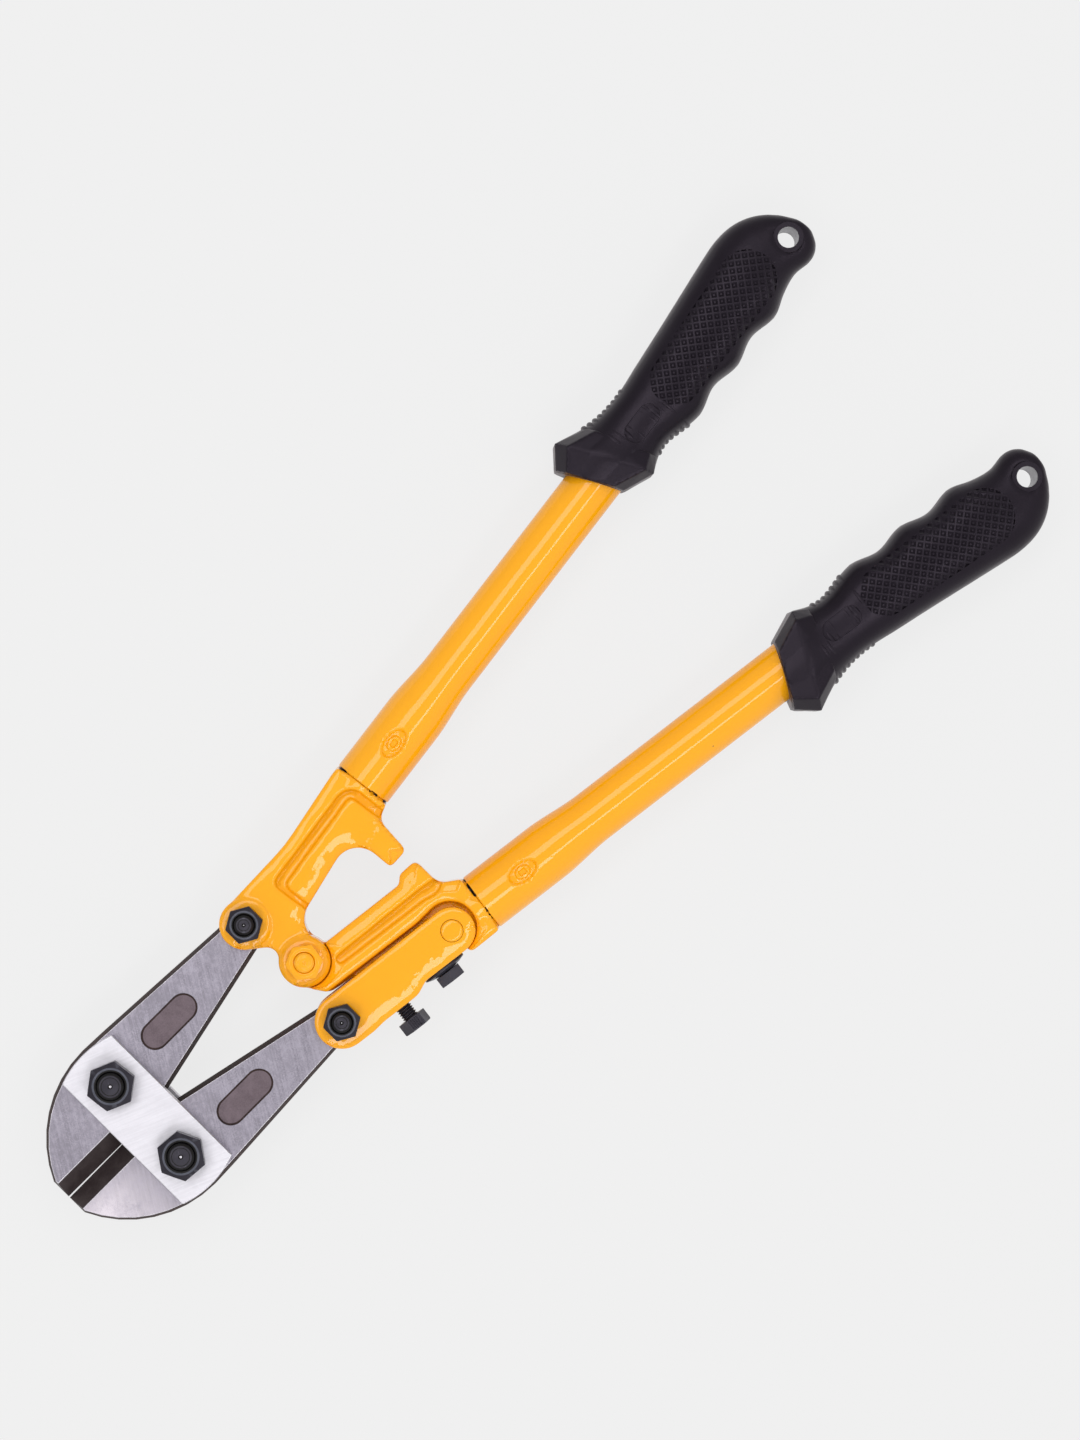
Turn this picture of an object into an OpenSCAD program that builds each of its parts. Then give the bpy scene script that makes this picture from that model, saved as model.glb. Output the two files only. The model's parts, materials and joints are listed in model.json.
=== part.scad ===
// Bolt cutters of the 350 mm class, with compound leverage.
// Two forged jaws hinge between a pair of strap plates. Their tails hinge on two cast handle ends:
// the left tail directly, the right tail through a link that a set screw adjusts.
// Millimetres. The tool lies flat with every pivot upright along Z, its nose toward -Y.

/* [Head] */
// Distance from the centre line to each jaw pivot
jaw_pivot_x = 14.75; // [14.5:0.05:15]
// Distance from the handle pivot forward to the jaw pivots
jaw_pivot_y = 66.3; // [65:0.1:67]
// Distance from the handle pivot forward to the nose
nose_y = 100; // [99:0.5:101]
// Thickness of a jaw
jaw_thickness = 11; // [10:0.5:11]
// How far the forged sides of a jaw lean in from the parting line
jaw_draft = 0.7; // [0.3:0.1:1]
// Width of the ground bevel beside each cutting edge
bevel_width = 5.3; // [4.5:0.1:6]
// Length of a strap plate along the tool
strap_length = 20.8; // [20:0.2:22]
// Width of a strap plate across the tool, at its middle
strap_width = 54.4; // [53:0.2:55]
// Thickness of a strap plate
strap_thickness = 4; // [3.5:0.1:4]

/* [Handle ends] */
// Angle between a handle and the centre line at rest
handle_angle = 7.5; // [7:0.1:8]
// Distance across a handle from the handle pivot to its tail pivot
tail_pivot_x = 21; // [20.5:0.1:21.5]
// Thickness of a cast handle end
casting_thickness = 17.2; // [16:0.2:18]
// Distance across a handle from the handle pivot to the tube axis
tube_axis_x = 18.5; // [18:0.1:19]

/* [Adjuster] */
// Distance along the handle from the handle pivot to the link's rivet
rivet_y = 40.5; // [40:0.1:41]
// Distance along the handle from the handle pivot to the set screw
set_screw_y = 14.8; // [14:0.1:15.5]
// Distance along the handle from the handle pivot to the lock bolt
lock_bolt_y = 31.8; // [31.3:0.1:32.3]

/* [Handles] */
// Outer diameter of a tube where the grip holds it
tube_d = 16.2; // [15.8:0.1:16.4]
// Outer diameter of the widened end of a tube
tube_socket_d = 18.6; // [18:0.1:19]
// Wall of a tube
tube_wall = 1.6; // [1.2:0.1:1.8]
// Bore of the eyelet that a handle hangs by
hang_bore_d = 6.4; // [6:0.1:6.6]

/* [Hidden] */
$fn = 64;

steel_bright = "#b9bbc2";
steel_oxide = "#34363f";
paint = "#ffae2d";
rubber = "#242226";

// Gaps. seat: pieces that are clamped together. running: a turning fit. side: faces that slide past each other.
seat = 0.02;
running = 0.06;
side = 0.1;

// Layers, measured from the middle plane
jaw_half = jaw_thickness / 2;
plate_in = jaw_half + side;
plate_out = plate_in + strap_thickness;
casting_half = casting_thickness / 2;
tongue_half = 5.2;
boss_out = plate_out + 0.2;

// Pivots. tail and rivet are in a handle's own frame, with the handle pivot at its origin.
jaw_pivot = [jaw_pivot_x, -jaw_pivot_y];
tail = [tail_pivot_x, -2];
rivet = [19.5, rivet_y];
tail_at_rest = turned(tail, -handle_angle);

// Fasteners: shank radius, width across flats, head height, nut height
m8 = [4, 13, 5.3, 6.5];
m6 = [3, 10, 4, 5];
m5 = [2.5, 8, 3.2, 4];
thread_proud = 1.1;

// Radii about the pivots
tail_r = 7;
ear_r = 7.7;
boss_r = 7.8;
// The left tail pivot is where the closed linkage is opened, so its bore has room for the error of the coupling
left_tail_bore_r = 4.45;
link_bore_r = m6[0] + 0.3;
tail_slot_r = tail_r + 1.7;
tongue_slot_r = boss_r + 0.5;

// Tube stations along a handle
tube_start = 52.8;
socket_end = 77;
taper_end = 95;
tube_end = 248;
tube_r = tube_d / 2;
socket_r = tube_socket_d / 2;
spigot_r = socket_r - tube_wall - 0.05;
dimple_y = 68;
hang_hole = [17, 261];

// Rings of the grip: place along the tube, lean of the ring, inner edge, outer edge, half thickness
collar_front = [166.5, -0.39, 9.6, 30, 11.2];
grip_rings = [
    [175.2, -0.37, 5.6, 35.2, 13],
    [182.8, -0.26, 7.9, 30.5, 10.7],
    [190.5, -0.04, 8.4, 29, 10],
    [203, 0, 5.5, 30, 10.9],
    [212.4, 0, 7.5, 30.8, 11],
    [221.8, 0, 5.5, 31.7, 11],
    [231.1, 0, 7.5, 32.6, 11],
    [240.5, 0, 5.5, 33.5, 10.7],
    [247.5, 0, 7.6, 33.9, 9.8],
    [254.5, 0, 8.6, 32.7, 8.4],
    [260.5, 0, 7.2, 29.4, 7.2],
    [265, 0, 8.6, 24.3, 6.4],
    [267.7, 0, 12.5, 18.5, 5.2]];
ring_pitch = 2.2;
ring_sides = 28;

// The tool lies on the heads of the jaw bolts, and its box is centred on the Z axis
ground = plate_out + m8[2];
grip_points = [for (ring = smooth_rings()) each ring_points(ring)];
handles_end = max([for (p = grip_points) turned([p[0], p[1]], -handle_angle)[1]]);
centre_y = (handles_end - nose_y) / 2;

// ---- Functions ----

function turned(p, a) = [p[0] * cos(a) - p[1] * sin(a), p[0] * sin(a) + p[1] * cos(a)];
function unit(v) = v / norm(v);
function flat(p) = [p[0], p[1]];

// Points of an arc about c, from angle a through sweep s
function arc(c, r, a, s) =
    let (n = max(2, ceil(abs(s) / 9)))
    [for (i = [0:n]) c + r * [cos(a + s * i / n), sin(a + s * i / n)]];

// One corner [x, y, radius] of a path as a tangent arc
function corner(before, at, after) =
    let (p = flat(at),
        u = unit(flat(before) - p),
        v = unit(flat(after) - p),
        half = acos(u * v) / 2,
        centre = p + unit(u + v) * at[2] / sin(half),
        from = p + u * at[2] / tan(half) - centre,
        to = p + v * at[2] / tan(half) - centre,
        sweep = atan2(from[0] * to[1] - from[1] * to[0], from * to))
    at[2] == 0 ? [p] : arc(centre, at[2], atan2(from[1], from[0]), sweep);

// A closed path of corners, each rounded
function rounded(path) =
    let (n = len(path))
    [for (i = [0:n - 1]) each corner(path[(i + n - 1) % n], path[i], path[(i + 1) % n])];

// A closed counterclockwise path moved inward by d
function inset(points, d) =
    let (n = len(points))
    [for (i = [0:n - 1])
        let (u = unit(points[i] - points[(i + n - 1) % n]),
            v = unit(points[(i + 1) % n] - points[i]),
            m = unit([-u[1] - v[1], u[0] + v[0]]))
        points[i] + m * d / max(0.5, m * [-v[1], v[0]])];

// Smooth curve through rows of values, whose first value is the place
function row_slope(rows, i) =
    let (a = rows[max(i - 1, 0)], b = rows[min(i + 1, len(rows) - 1)])
    (b - a) / (b[0] - a[0]);
function between(rows, place) =
    let (i = max([for (j = [0:len(rows) - 2]) if (rows[j][0] <= place) j]),
        a = rows[i],
        b = rows[i + 1],
        w = b[0] - a[0],
        s = (place - a[0]) / w)
    a * (1 + 2 * s) * (1 - s) * (1 - s) + row_slope(rows, i) * w * s * (1 - s) * (1 - s)
        + b * s * s * (3 - 2 * s) - row_slope(rows, i + 1) * w * s * s * (1 - s);

function smooth_rings() =
    let (first = grip_rings[0][0],
        last = grip_rings[len(grip_rings) - 1][0],
        n = ceil((last - first) / ring_pitch))
    concat([collar_front], [for (i = [0:n]) between(grip_rings, first + (last - first) * i / n * 0.99999)]);

// A flattened oval, fuller than an ellipse, at one place along the grip
function ring_points(ring) =
    let (mid = (ring[2] + ring[3]) / 2, reach = (ring[3] - ring[2]) / 2)
    [for (i = [0:ring_sides - 1])
        let (a = 360 * i / ring_sides,
            x = mid + reach * sign(cos(a)) * pow(abs(cos(a)), 0.8),
            z = ring[4] * sign(sin(a)) * pow(abs(sin(a)), 0.8))
        [x, ring[0] + ring[1] * (x - tube_axis_x), z]];

// ---- Shared forms ----

module stand() {
    translate([0, -centre_y, ground]) children();
}

module right_handle() {
    stand() rotate([0, 0, -handle_angle]) children();
}

module left_handle() {
    stand() mirror([1, 0, 0]) rotate([0, 0, -handle_angle]) children();
}

module left_side() {
    stand() mirror([1, 0, 0]) children();
}

// A slab between two heights
module slab(low, high) {
    translate([0, 0, low]) linear_extrude(high - low) children();
}

// The same slab on both sides of the middle plane
module both_sides(low, high) {
    slab(low, high) children();
    slab(-high, -low) children();
}

// A cylinder along Z at a point, between two heights
module pin(at, r, low, high) {
    translate([at[0], at[1], low]) cylinder(r = r, h = high - low);
}

module along_x(x, y) {
    translate([x, y, 0]) rotate([0, 90, 0]) children();
}

// A solid of revolution about the tube's axis, from a profile of [radius, place]
module about_tube(profile) {
    translate([tube_axis_x, 0, 0]) rotate([-90, 0, 0]) rotate_extrude() polygon(profile);
}

// A hexagon with both or one of its ends turned to a chamfer
module hexagon(af, h, both) {
    chamfer = af * 0.09;
    rim = af / sqrt(3);
    intersection() {
        cylinder(r = rim, h = h, $fn = 6);
        rotate_extrude() polygon([[0, 0], [rim - (both ? chamfer * 1.7 : 0), 0], [rim, both ? chamfer : 0],
            [rim, h - chamfer], [rim - chamfer * 1.7, h], [0, h]]);
    }
}

module hex_nut(size) {
    difference() {
        hexagon(size[1], size[3], true);
        translate([0, 0, -1]) cylinder(r = size[0] + seat, h = size[3] + 2);
    }
}

// A bolt up along Z from the underside of its head, whose shank ends in a chamfer
module hex_bolt(size, shank) {
    mirror([0, 0, 1]) hexagon(size[1], size[2], false);
    cylinder(r = size[0], h = shank - 0.7);
    translate([0, 0, shank - 0.7]) cylinder(r1 = size[0], r2 = size[0] - 0.7, h = 0.7);
}

// A bolt and its nut through a stack with the given half height
module through_bolt(at, size, half) {
    translate([at[0], at[1], -half]) hex_bolt(size, 2 * half + size[3] + thread_proud);
}

// The nut on top of that stack, turned to the place where it came tight
module top_nut(at, size, half, turn) {
    translate([at[0], at[1], half]) rotate([0, 0, turn]) hex_nut(size);
}

// A forging with sides that lean in from its middle plane to its faces
module forging(outline, half, lean) {
    n = len(outline);
    over = 1;
    face = inset(outline, lean * (half + over) / half);
    points = concat([for (p = face) [p[0], p[1], -half - over]], [for (p = outline) [p[0], p[1], 0]],
        [for (p = face) [p[0], p[1], half + over]]);
    walls = [for (k = [0:1], i = [0:n - 1])
        let (j = (i + 1) % n, a = k * n)
        each [[a + i, a + n + i, a + j], [a + j, a + n + i, a + n + j]]];
    intersection() {
        polyhedron(points, concat([[for (i = [0:n - 1]) i]], walls, [[for (i = [n - 1:-1:0]) 2 * n + i]]));
        slab(-half, half) square(4 * nose_y, center = true);
    }
}

// ---- Head ----

module strap() {
    bow = 30;
    intersection() {
        square([strap_width, strap_length], center = true);
        translate([strap_width / 2 - bow, 0]) circle(bow);
        translate([bow - strap_width / 2, 0]) circle(bow);
    }
}

module strap_plate(low, high) {
    color(steel_bright) stand() difference() {
        translate([0, -jaw_pivot_y]) slab(low, high) strap();
        for (x = [-1, 1]) pin([x * jaw_pivot_x, -jaw_pivot_y], m8[0] + seat, low - 1, high + 1);
    }
}

module front_strap() strap_plate(plate_in, plate_out);

module rear_strap() strap_plate(-plate_out, -plate_in);

// Outline of the right jaw: the cutting edge and the V behind it, the tail, and the bowed nose
function jaw_outline() =
    let (nose_r = 37,
        wide = 28.2,
        nose_turn = acos((nose_y - jaw_pivot_y) / nose_r),
        inner = unit([10.5, 48]),
        rise = atan2(inner[1], inner[0]))
    concat(
        [[0.32, -nose_y]],
        arc([wide - nose_r, -jaw_pivot_y], nose_r, nose_turn - 90, 90 - nose_turn),
        corner([wide, -jaw_pivot_y], [27.9, -58, 60], [25.4, -12]),
        corner([27.9, -58], [25.3, -11.2, 3], [26.6, -8.4]),
        arc(tail_at_rest, tail_r, -32, 180 + 32 - (90 - rise)),
        corner(tail_at_rest + tail_r * turned(inner, 90), [0.5, -63.3, 2], [0.2, -jaw_pivot_y - 2]),
        [[0.15, -jaw_pivot_y - 3]]);

module jaw(tail_bore) {
    bevel_rear = -jaw_pivot_y - 8;
    difference() {
        forging(jaw_outline(), jaw_half, jaw_draft);
        // Ground bevels on both faces, down to a narrow edge in the middle plane
        for (flip = [0, 1]) mirror([0, 0, flip]) translate([0, bevel_rear, 0]) rotate([90, 0, 0])
            linear_extrude(nose_y) polygon([[-4, 0.15], [0.33, 0.15], [bevel_width, jaw_half],
                [bevel_width, jaw_half + 1], [-4, jaw_half + 1]]);
        // Stamped recesses
        both_sides(jaw_half - 0.5, jaw_half + 1) lozenge();
        pin(jaw_pivot, m8[0] + running, -jaw_half - 1, jaw_half + 1);
        pin(tail_at_rest, tail_bore, -jaw_half - 1, jaw_half + 1);
    }
}

module lozenge() {
    r = 4.3;
    span = 11.9;
    translate([16, -41.3]) {
        square([2 * r, span], center = true);
        for (y = [-1, 1]) translate([0, y * span / 2]) circle(r);
    }
}

module right_jaw() color(steel_bright) stand() jaw(m6[0] + running);

module left_jaw() color(steel_bright) left_side() jaw(left_tail_bore_r);

module right_jaw_bolt() color(steel_oxide) stand() through_bolt(jaw_pivot, m8, plate_out);

module left_jaw_bolt() color(steel_oxide) left_side() through_bolt(jaw_pivot, m8, plate_out);

module right_jaw_nut() color(steel_oxide) stand() top_nut(jaw_pivot, m8, plate_out, 25);

module left_jaw_nut() color(steel_oxide) left_side() top_nut(jaw_pivot, m8, plate_out, -7);

module right_tail_bolt() color(steel_oxide) right_handle() through_bolt(tail, m6, plate_out + side);

module left_tail_bolt() color(steel_oxide) left_handle() through_bolt(tail, m6, plate_out);

module right_tail_nut() color(steel_oxide) right_handle() top_nut(tail, m6, plate_out + side, handle_angle);

module left_tail_nut() color(steel_oxide) left_handle() top_nut(tail, m6, plate_out, handle_angle);

// ---- Cast handle ends ----

// The lug faces meet flat when the handles close, so each lies on a line through the handle pivot
lug_lean = -tan(5.05);
function lug_face(y) = [lug_lean * y + 0.12, y];

// Shoulder ring and spigot that carry the tube
module spigot() {
    about_tube([[0, 46], [socket_r, 48], [socket_r, tube_start - 0.2], [spigot_r, tube_start - 0.2],
        [spigot_r, socket_end - 4], [spigot_r - 2, socket_end - 2], [0, socket_end - 2]]);
}

// The pressed dimple that locks a tube on its spigot, as a cylinder across the tube; grow is the wall it leaves
module dimple(grow) {
    bend = 19;
    for (s = [-1, 1]) translate([tube_axis_x - 20, dimple_y, s * (socket_r + bend - 0.55)])
        rotate([0, 90, 0]) cylinder(r = bend + grow, h = 40);
}

function left_end_outline() = rounded([
    [lug_face(38)[0], 38, 1.2], [11.9, 38.6, 7.6], [9.2, 13, 0], [7.4, 7.4, 7], [0, 7.2, 0], [0, -6.5, 0],
    [3.6, -6.4, 0], [9.6, -1.6, 3.5], [16, -7.9, 0], [21, -8, 0], [28.6, -3.5, 0], [25.9, 24, 50], [27.6, 48.6, 0],
    [27.6, 52, 0], [9.2, 52, 0], [8.2, 47.2, 4], [lug_face(44.9)[0], 44.9, 1.8]]);

// Sunk channel beside the pad of the left end, open toward the bay
module left_channel() {
    difference() {
        polygon(rounded([[4, 50.3, 0], [22.4, 50.3, 5], [22, 12.4, 2.5], [8, 12.4, 0], [4, 20, 0]]));
        polygon(rounded([[0, 47.4, 0], [19.2, 47.4, 1.5], [18.6, 14.4, 2], [-2, 14.4, 0]]));
    }
}

module left_handle_end() {
    color(paint) left_handle() difference() {
        union() {
            slab(-casting_half, casting_half) polygon(left_end_outline());
            pin(tail, ear_r, -plate_out, plate_out);
            pin([0, 0], boss_r, -casting_half - 0.5, casting_half + 0.5);
            pin([0, 0], boss_r - 1, -boss_out, boss_out);
            difference() {
                spigot();
                dimple(tube_wall + 0.05);
            }
        }
        both_sides(casting_half - 1.6, casting_half + 1) left_channel();
        // Fork slots for the tail of the jaw and for the tongue of the other handle end
        pin(tail, tail_slot_r, -plate_in, plate_in);
        pin([0, 0], tongue_slot_r, -tongue_half - side, tongue_half + side);
        pin(tail, m6[0] + seat, -plate_out - 1, plate_out + 1);
        pin([0, 0], m6[0] + seat, -boss_out - 1, boss_out + 1);
    }
}

// Outline of the right end in its middle layer, which runs between the plates of the adjusting link
function right_core_outline() = rounded([
    [-0.7, 6, 0], [-1, 36.3, 1.5], [lug_face(38.3)[0], 38.3, 1], [lug_face(44.7)[0], 44.7, 1.8], [5.8, 46, 5],
    [9, 52, 0], [28, 52, 0], [28.2, 41.4, 1.5], [24.3, 40, 1.5], [24.3, 10.5, 2], [12.5, 9, 1], [12.1, 0.5, 4],
    [6.4, -4.6, 3], [3, -6.7, 0], [-0.7, -6, 0]]);

// The pocket that the link lies in
module link_pocket() {
    translate([18.6, rivet_y]) circle(8.1);
    polygon([[10.5, rivet_y], [11.4, rivet_y - 7], [11.4, -12], [40, -12], [40, rivet_y], [26.7, rivet_y]]);
}

module right_channel() {
    translate([5.9, 9]) circle(1.5);
    polygon(rounded([[4.4, 9, 0], [7.4, 9, 0], [7.4, 40, 0], [9.6, 49, 6], [4, 49, 0], [3.6, 40, 0]]));
}

module right_handle_end() {
    color(paint) right_handle() difference() {
        union() {
            slab(-jaw_half, jaw_half) polygon(right_core_outline());
            pin([0, 0], boss_r + 0.1, -tongue_half, tongue_half);
            difference() {
                slab(-casting_half, casting_half) polygon(right_core_outline());
                both_sides(jaw_half, casting_half + 1) link_pocket();
            }
            difference() {
                spigot();
                both_sides(jaw_half, casting_half + 2) link_pocket();
                dimple(tube_wall + 0.05);
            }
        }
        both_sides(tongue_half, casting_half + 1) circle(boss_r + 0.3);
        both_sides(casting_half - 1.6, casting_half + 1) right_channel();
        pin([0, 0], m6[0] + running, -tongue_half - 1, tongue_half + 1);
        pin(rivet, 3.4 + seat, -jaw_half - 1, jaw_half + 1);
        along_x(13, lock_bolt_y) cylinder(r = m5[0] + running, h = 20);
    }
}

module handle_pivot_bolt() color(paint) right_handle() through_bolt([0, 0], m6, boss_out);

module handle_pivot_nut() color(paint) right_handle() top_nut([0, 0], m6, boss_out, 0);

// ---- Adjuster ----

link_edge = 26.65;

function link_outline() = rounded([
    [12.4, 47.6, 7.1], [link_edge, 47.6, 7.1], [link_edge, 25.3, 3], [28.6, 20.8, 5], [28.7, 8, 6],
    [29.2, 4, 4], [29.2, -10.2, 8.15], [12.8, -10.2, 8.15]]);

module adjusting_link() {
    color(paint) right_handle() difference() {
        union() {
            both_sides(plate_in, plate_out) polygon(link_outline());
            // Web at the outer edge, with the boss that the set screw is threaded in
            slab(-plate_in, plate_in) polygon(rounded([[25, 7.5, 0], [28.6, 7.5, 2], [28.6, 21.3, 4], [27, 23.8, 0],
                [25, 23.8, 0]]));
        }
        pin(tail, link_bore_r, -plate_out - 1, plate_out + 1);
        pin(rivet, 3.4 + running, -plate_out - 1, plate_out + 1);
        along_x(24, set_screw_y) cylinder(r = m5[0] + running, h = 6);
    }
}

module adjuster_rivet() {
    color(paint) right_handle() for (flip = [0, 1]) mirror([0, 0, flip]) {
        pin(rivet, 3.4, 0, plate_out + 0.2);
        translate([rivet[0], rivet[1], plate_out + 0.2]) cylinder(r1 = 3.4, r2 = 3.1, h = 0.3);
    }
}

module set_screw() {
    tip = 24.75;
    head = 33;
    color(steel_oxide) right_handle() {
        along_x(tip, set_screw_y) cylinder(r1 = m5[0] - 0.6, r2 = m5[0], h = 0.6);
        along_x(tip + 0.6, set_screw_y) cylinder(r = m5[0], h = head - tip - 0.6);
        along_x(head, set_screw_y) rotate([0, 0, 22]) hexagon(m5[1], 3.8, false);
    }
}

washer_seat = link_edge + side;
washer_dish = 0.7;
washer_t = 1.2;

module lock_washer() {
    color(steel_oxide) right_handle() along_x(washer_seat, lock_bolt_y) rotate_extrude()
        polygon([[m5[0] + running, washer_dish], [7, 0], [7, washer_t * 0.7], [5, washer_t + washer_dish * 0.4],
            [m5[0] + running, washer_t + washer_dish]]);
}

module lock_bolt() {
    shank = 13;
    head = washer_seat + washer_t + washer_dish + seat;
    color(steel_oxide) right_handle() {
        along_x(head - shank, lock_bolt_y) cylinder(r = m5[0], h = shank);
        along_x(head, lock_bolt_y) hexagon(m5[1], m5[2], false);
    }
}

// ---- Tubes and grips ----

module tube() {
    wall = tube_wall;
    difference() {
        about_tube([[0, tube_start], [socket_r, tube_start], [socket_r, socket_end], [tube_r, taper_end],
            [tube_r, tube_end], [0, tube_end]]);
        dimple(0);
        difference() {
            about_tube([[0, tube_start - 1], [socket_r - wall, tube_start - 1], [socket_r - wall, socket_end],
                [tube_r - wall, taper_end], [tube_r - wall, tube_end + 1], [0, tube_end + 1]]);
            dimple(wall);
        }
    }
}

module right_tube() color(paint) right_handle() tube();

module left_tube() color(paint) left_handle() tube();

module grip() {
    rings = smooth_rings();
    n = ring_sides;
    last = len(rings) - 1;
    walls = [for (k = [0:last - 1], i = [0:n - 1])
        let (j = (i + 1) % n, a = k * n)
        each [[a + i, a + j, a + n + i], [a + j, a + n + j, a + n + i]]];
    difference() {
        polyhedron([for (ring = rings) each ring_points(ring)],
            concat([[for (i = [n - 1:-1:0]) i]], walls, [[for (i = [0:n - 1]) last * n + i]]));
        about_tube([[0, 155], [tube_r + 0.05, 155], [tube_r + 0.05, tube_end + 0.3], [0, tube_end + 0.3]]);
        pin(hang_hole, hang_bore_d / 2 + 0.85, -15, 15);
    }
}

module right_grip() color(rubber) right_handle() grip();

module left_grip() color(rubber) left_handle() grip();

module hang_eyelet() {
    half = 6.9;
    difference() {
        pin(hang_hole, hang_bore_d / 2 + 0.8, -half, half);
        pin(hang_hole, hang_bore_d / 2, -half - 1, half + 1);
    }
}

module right_hang_eyelet() color(steel_bright) right_handle() hang_eyelet();

module left_hang_eyelet() color(steel_bright) left_handle() hang_eyelet();

front_strap();
rear_strap();
left_jaw_bolt();
right_jaw_bolt();
left_jaw_nut();
right_jaw_nut();
left_jaw();
right_jaw();
left_tail_bolt();
right_tail_bolt();
left_tail_nut();
right_tail_nut();
left_handle_end();
right_handle_end();
handle_pivot_bolt();
handle_pivot_nut();
adjusting_link();
adjuster_rivet();
set_screw();
lock_bolt();
lock_washer();
left_tube();
right_tube();
left_grip();
right_grip();
left_hang_eyelet();
right_hang_eyelet();
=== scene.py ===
import json
import math

import bpy
import mathutils
from mathutils import Matrix, Vector
from mathutils.kdtree import KDTree

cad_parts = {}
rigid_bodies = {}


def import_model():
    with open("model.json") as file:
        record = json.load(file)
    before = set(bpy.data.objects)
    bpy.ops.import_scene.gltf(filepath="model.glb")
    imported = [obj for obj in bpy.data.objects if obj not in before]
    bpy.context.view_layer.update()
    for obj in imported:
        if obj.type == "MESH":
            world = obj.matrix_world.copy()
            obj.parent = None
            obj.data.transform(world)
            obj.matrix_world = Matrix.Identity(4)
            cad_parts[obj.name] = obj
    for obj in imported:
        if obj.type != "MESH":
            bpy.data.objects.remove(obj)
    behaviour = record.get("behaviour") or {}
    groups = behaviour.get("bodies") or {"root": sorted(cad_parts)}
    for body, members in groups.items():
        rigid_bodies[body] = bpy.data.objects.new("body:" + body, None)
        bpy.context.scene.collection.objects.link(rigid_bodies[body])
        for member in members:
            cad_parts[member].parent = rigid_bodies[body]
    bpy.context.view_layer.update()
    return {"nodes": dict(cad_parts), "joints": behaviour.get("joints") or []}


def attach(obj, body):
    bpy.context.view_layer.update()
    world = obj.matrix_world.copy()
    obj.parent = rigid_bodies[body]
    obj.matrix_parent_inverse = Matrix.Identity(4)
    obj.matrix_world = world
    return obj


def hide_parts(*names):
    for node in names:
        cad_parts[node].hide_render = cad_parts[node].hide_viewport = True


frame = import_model()
print("frame loaded:", len(frame["nodes"]), "nodes")

# The tool is modelled in millimetres at a bench, a handle straight along Y, and each piece then placed in the frame
millimetre = 0.001
jointOf = {joint["name"]: joint for joint in frame["joints"]}
handlePivot = Vector(jointOf["handle_hinge"]["pos_m"])
acrossHandle = Vector(jointOf["lock_bolt_turn"]["axis"])
handleTurn = math.atan2(acrossHandle.y, acrossHandle.x)  # 7.5 degrees off the centre line
benchScale = Matrix.Diagonal((millimetre, millimetre, millimetre, 1))


def headPlace():
    return Matrix.Translation(handlePivot) @ benchScale


def handlePlace(side):
    mirror = Matrix.Diagonal((side, 1, 1, 1))
    return Matrix.Translation(handlePivot) @ mirror @ Matrix.Rotation(handleTurn, 4, "Z") @ benchScale


def sideName(side):
    return "right" if side > 0 else "left"


def onlyThis(piece):
    if bpy.context.object and bpy.context.object.mode != "OBJECT":
        bpy.ops.object.mode_set(mode="OBJECT")
    bpy.ops.object.select_all(action="DESELECT")
    bpy.context.view_layer.objects.active = piece
    piece.select_set(True)


def pickBy(kind):
    bpy.context.tool_settings.mesh_select_mode = [kind == name for name in ("VERT", "EDGE", "FACE")]


def startPick(piece, kind):
    onlyThis(piece)
    for part in (piece.data.vertices, piece.data.edges, piece.data.polygons):
        part.foreach_set("select", [False] * len(part))
    pickBy(kind)


def pickFaces(piece, rule):
    startPick(piece, "FACE")
    for face in piece.data.polygons:
        face.select = bool(rule(face.center, face.normal))
    bpy.ops.object.mode_set(mode="EDIT")


def pickEdges(piece, rule):
    startPick(piece, "EDGE")
    points = piece.data.vertices
    for edge in piece.data.edges:
        a, b = (points[i].co for i in edge.vertices)
        edge.select = bool(rule(a, b))
    bpy.ops.object.mode_set(mode="EDIT")


def pickAll(piece):
    onlyThis(piece)
    pickBy("VERT")
    bpy.ops.object.mode_set(mode="EDIT")
    bpy.ops.mesh.select_all(action="SELECT")


def bench(piece):
    bpy.ops.object.mode_set(mode="OBJECT")
    return piece


def stepIn(middle, share, move=(0, 0, 0)):
    # extrudes the picked faces, draws them towards a middle point and moves them
    bpy.ops.mesh.extrude_region_move(TRANSFORM_OT_translate={"value": move})
    bpy.ops.transform.resize(value=(share, share, share), center_override=[a + b for a, b in zip(middle, move)])


def newPiece(name):
    piece = bpy.context.object
    piece.name = name
    piece.data.name = name
    return piece


def primitive(name, add, **values):
    # a new primitive by itself, with its place in its mesh
    bpy.ops.object.select_all(action="DESELECT")
    add(**values)
    piece = newPiece(name)
    bpy.ops.object.transform_apply(location=True, rotation=True, scale=True)
    return piece


def moved(piece, matrix):
    # puts a move, a turn or a scale into the mesh
    onlyThis(piece)
    piece.matrix_world = matrix @ piece.matrix_world
    bpy.ops.object.transform_apply(location=True, rotation=True, scale=True)
    return piece


def faceOut(piece):
    pickAll(piece)
    bpy.ops.mesh.normals_make_consistent(inside=False)
    return bench(piece)


def applied(piece, kind, **values):
    onlyThis(piece)
    modifier = piece.modifiers.new(kind.lower(), kind)
    for key, value in values.items():
        setattr(modifier, key, value)
    bpy.ops.object.modifier_apply(modifier=modifier.name)
    return piece


def bevelled(piece, width, degrees, segments=2):
    # rounds every edge that turns by more than some degrees
    return applied(piece, "BEVEL", width=width, segments=segments, limit_method="ANGLE",
                   angle_limit=math.radians(degrees))


def remeshed(piece, size, rounds):
    # one even skin over the whole piece, with its steps smoothed away
    applied(piece, "REMESH", mode="VOXEL", voxel_size=size, adaptivity=0.0)
    return applied(piece, "SMOOTH", factor=0.5, iterations=rounds)


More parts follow.
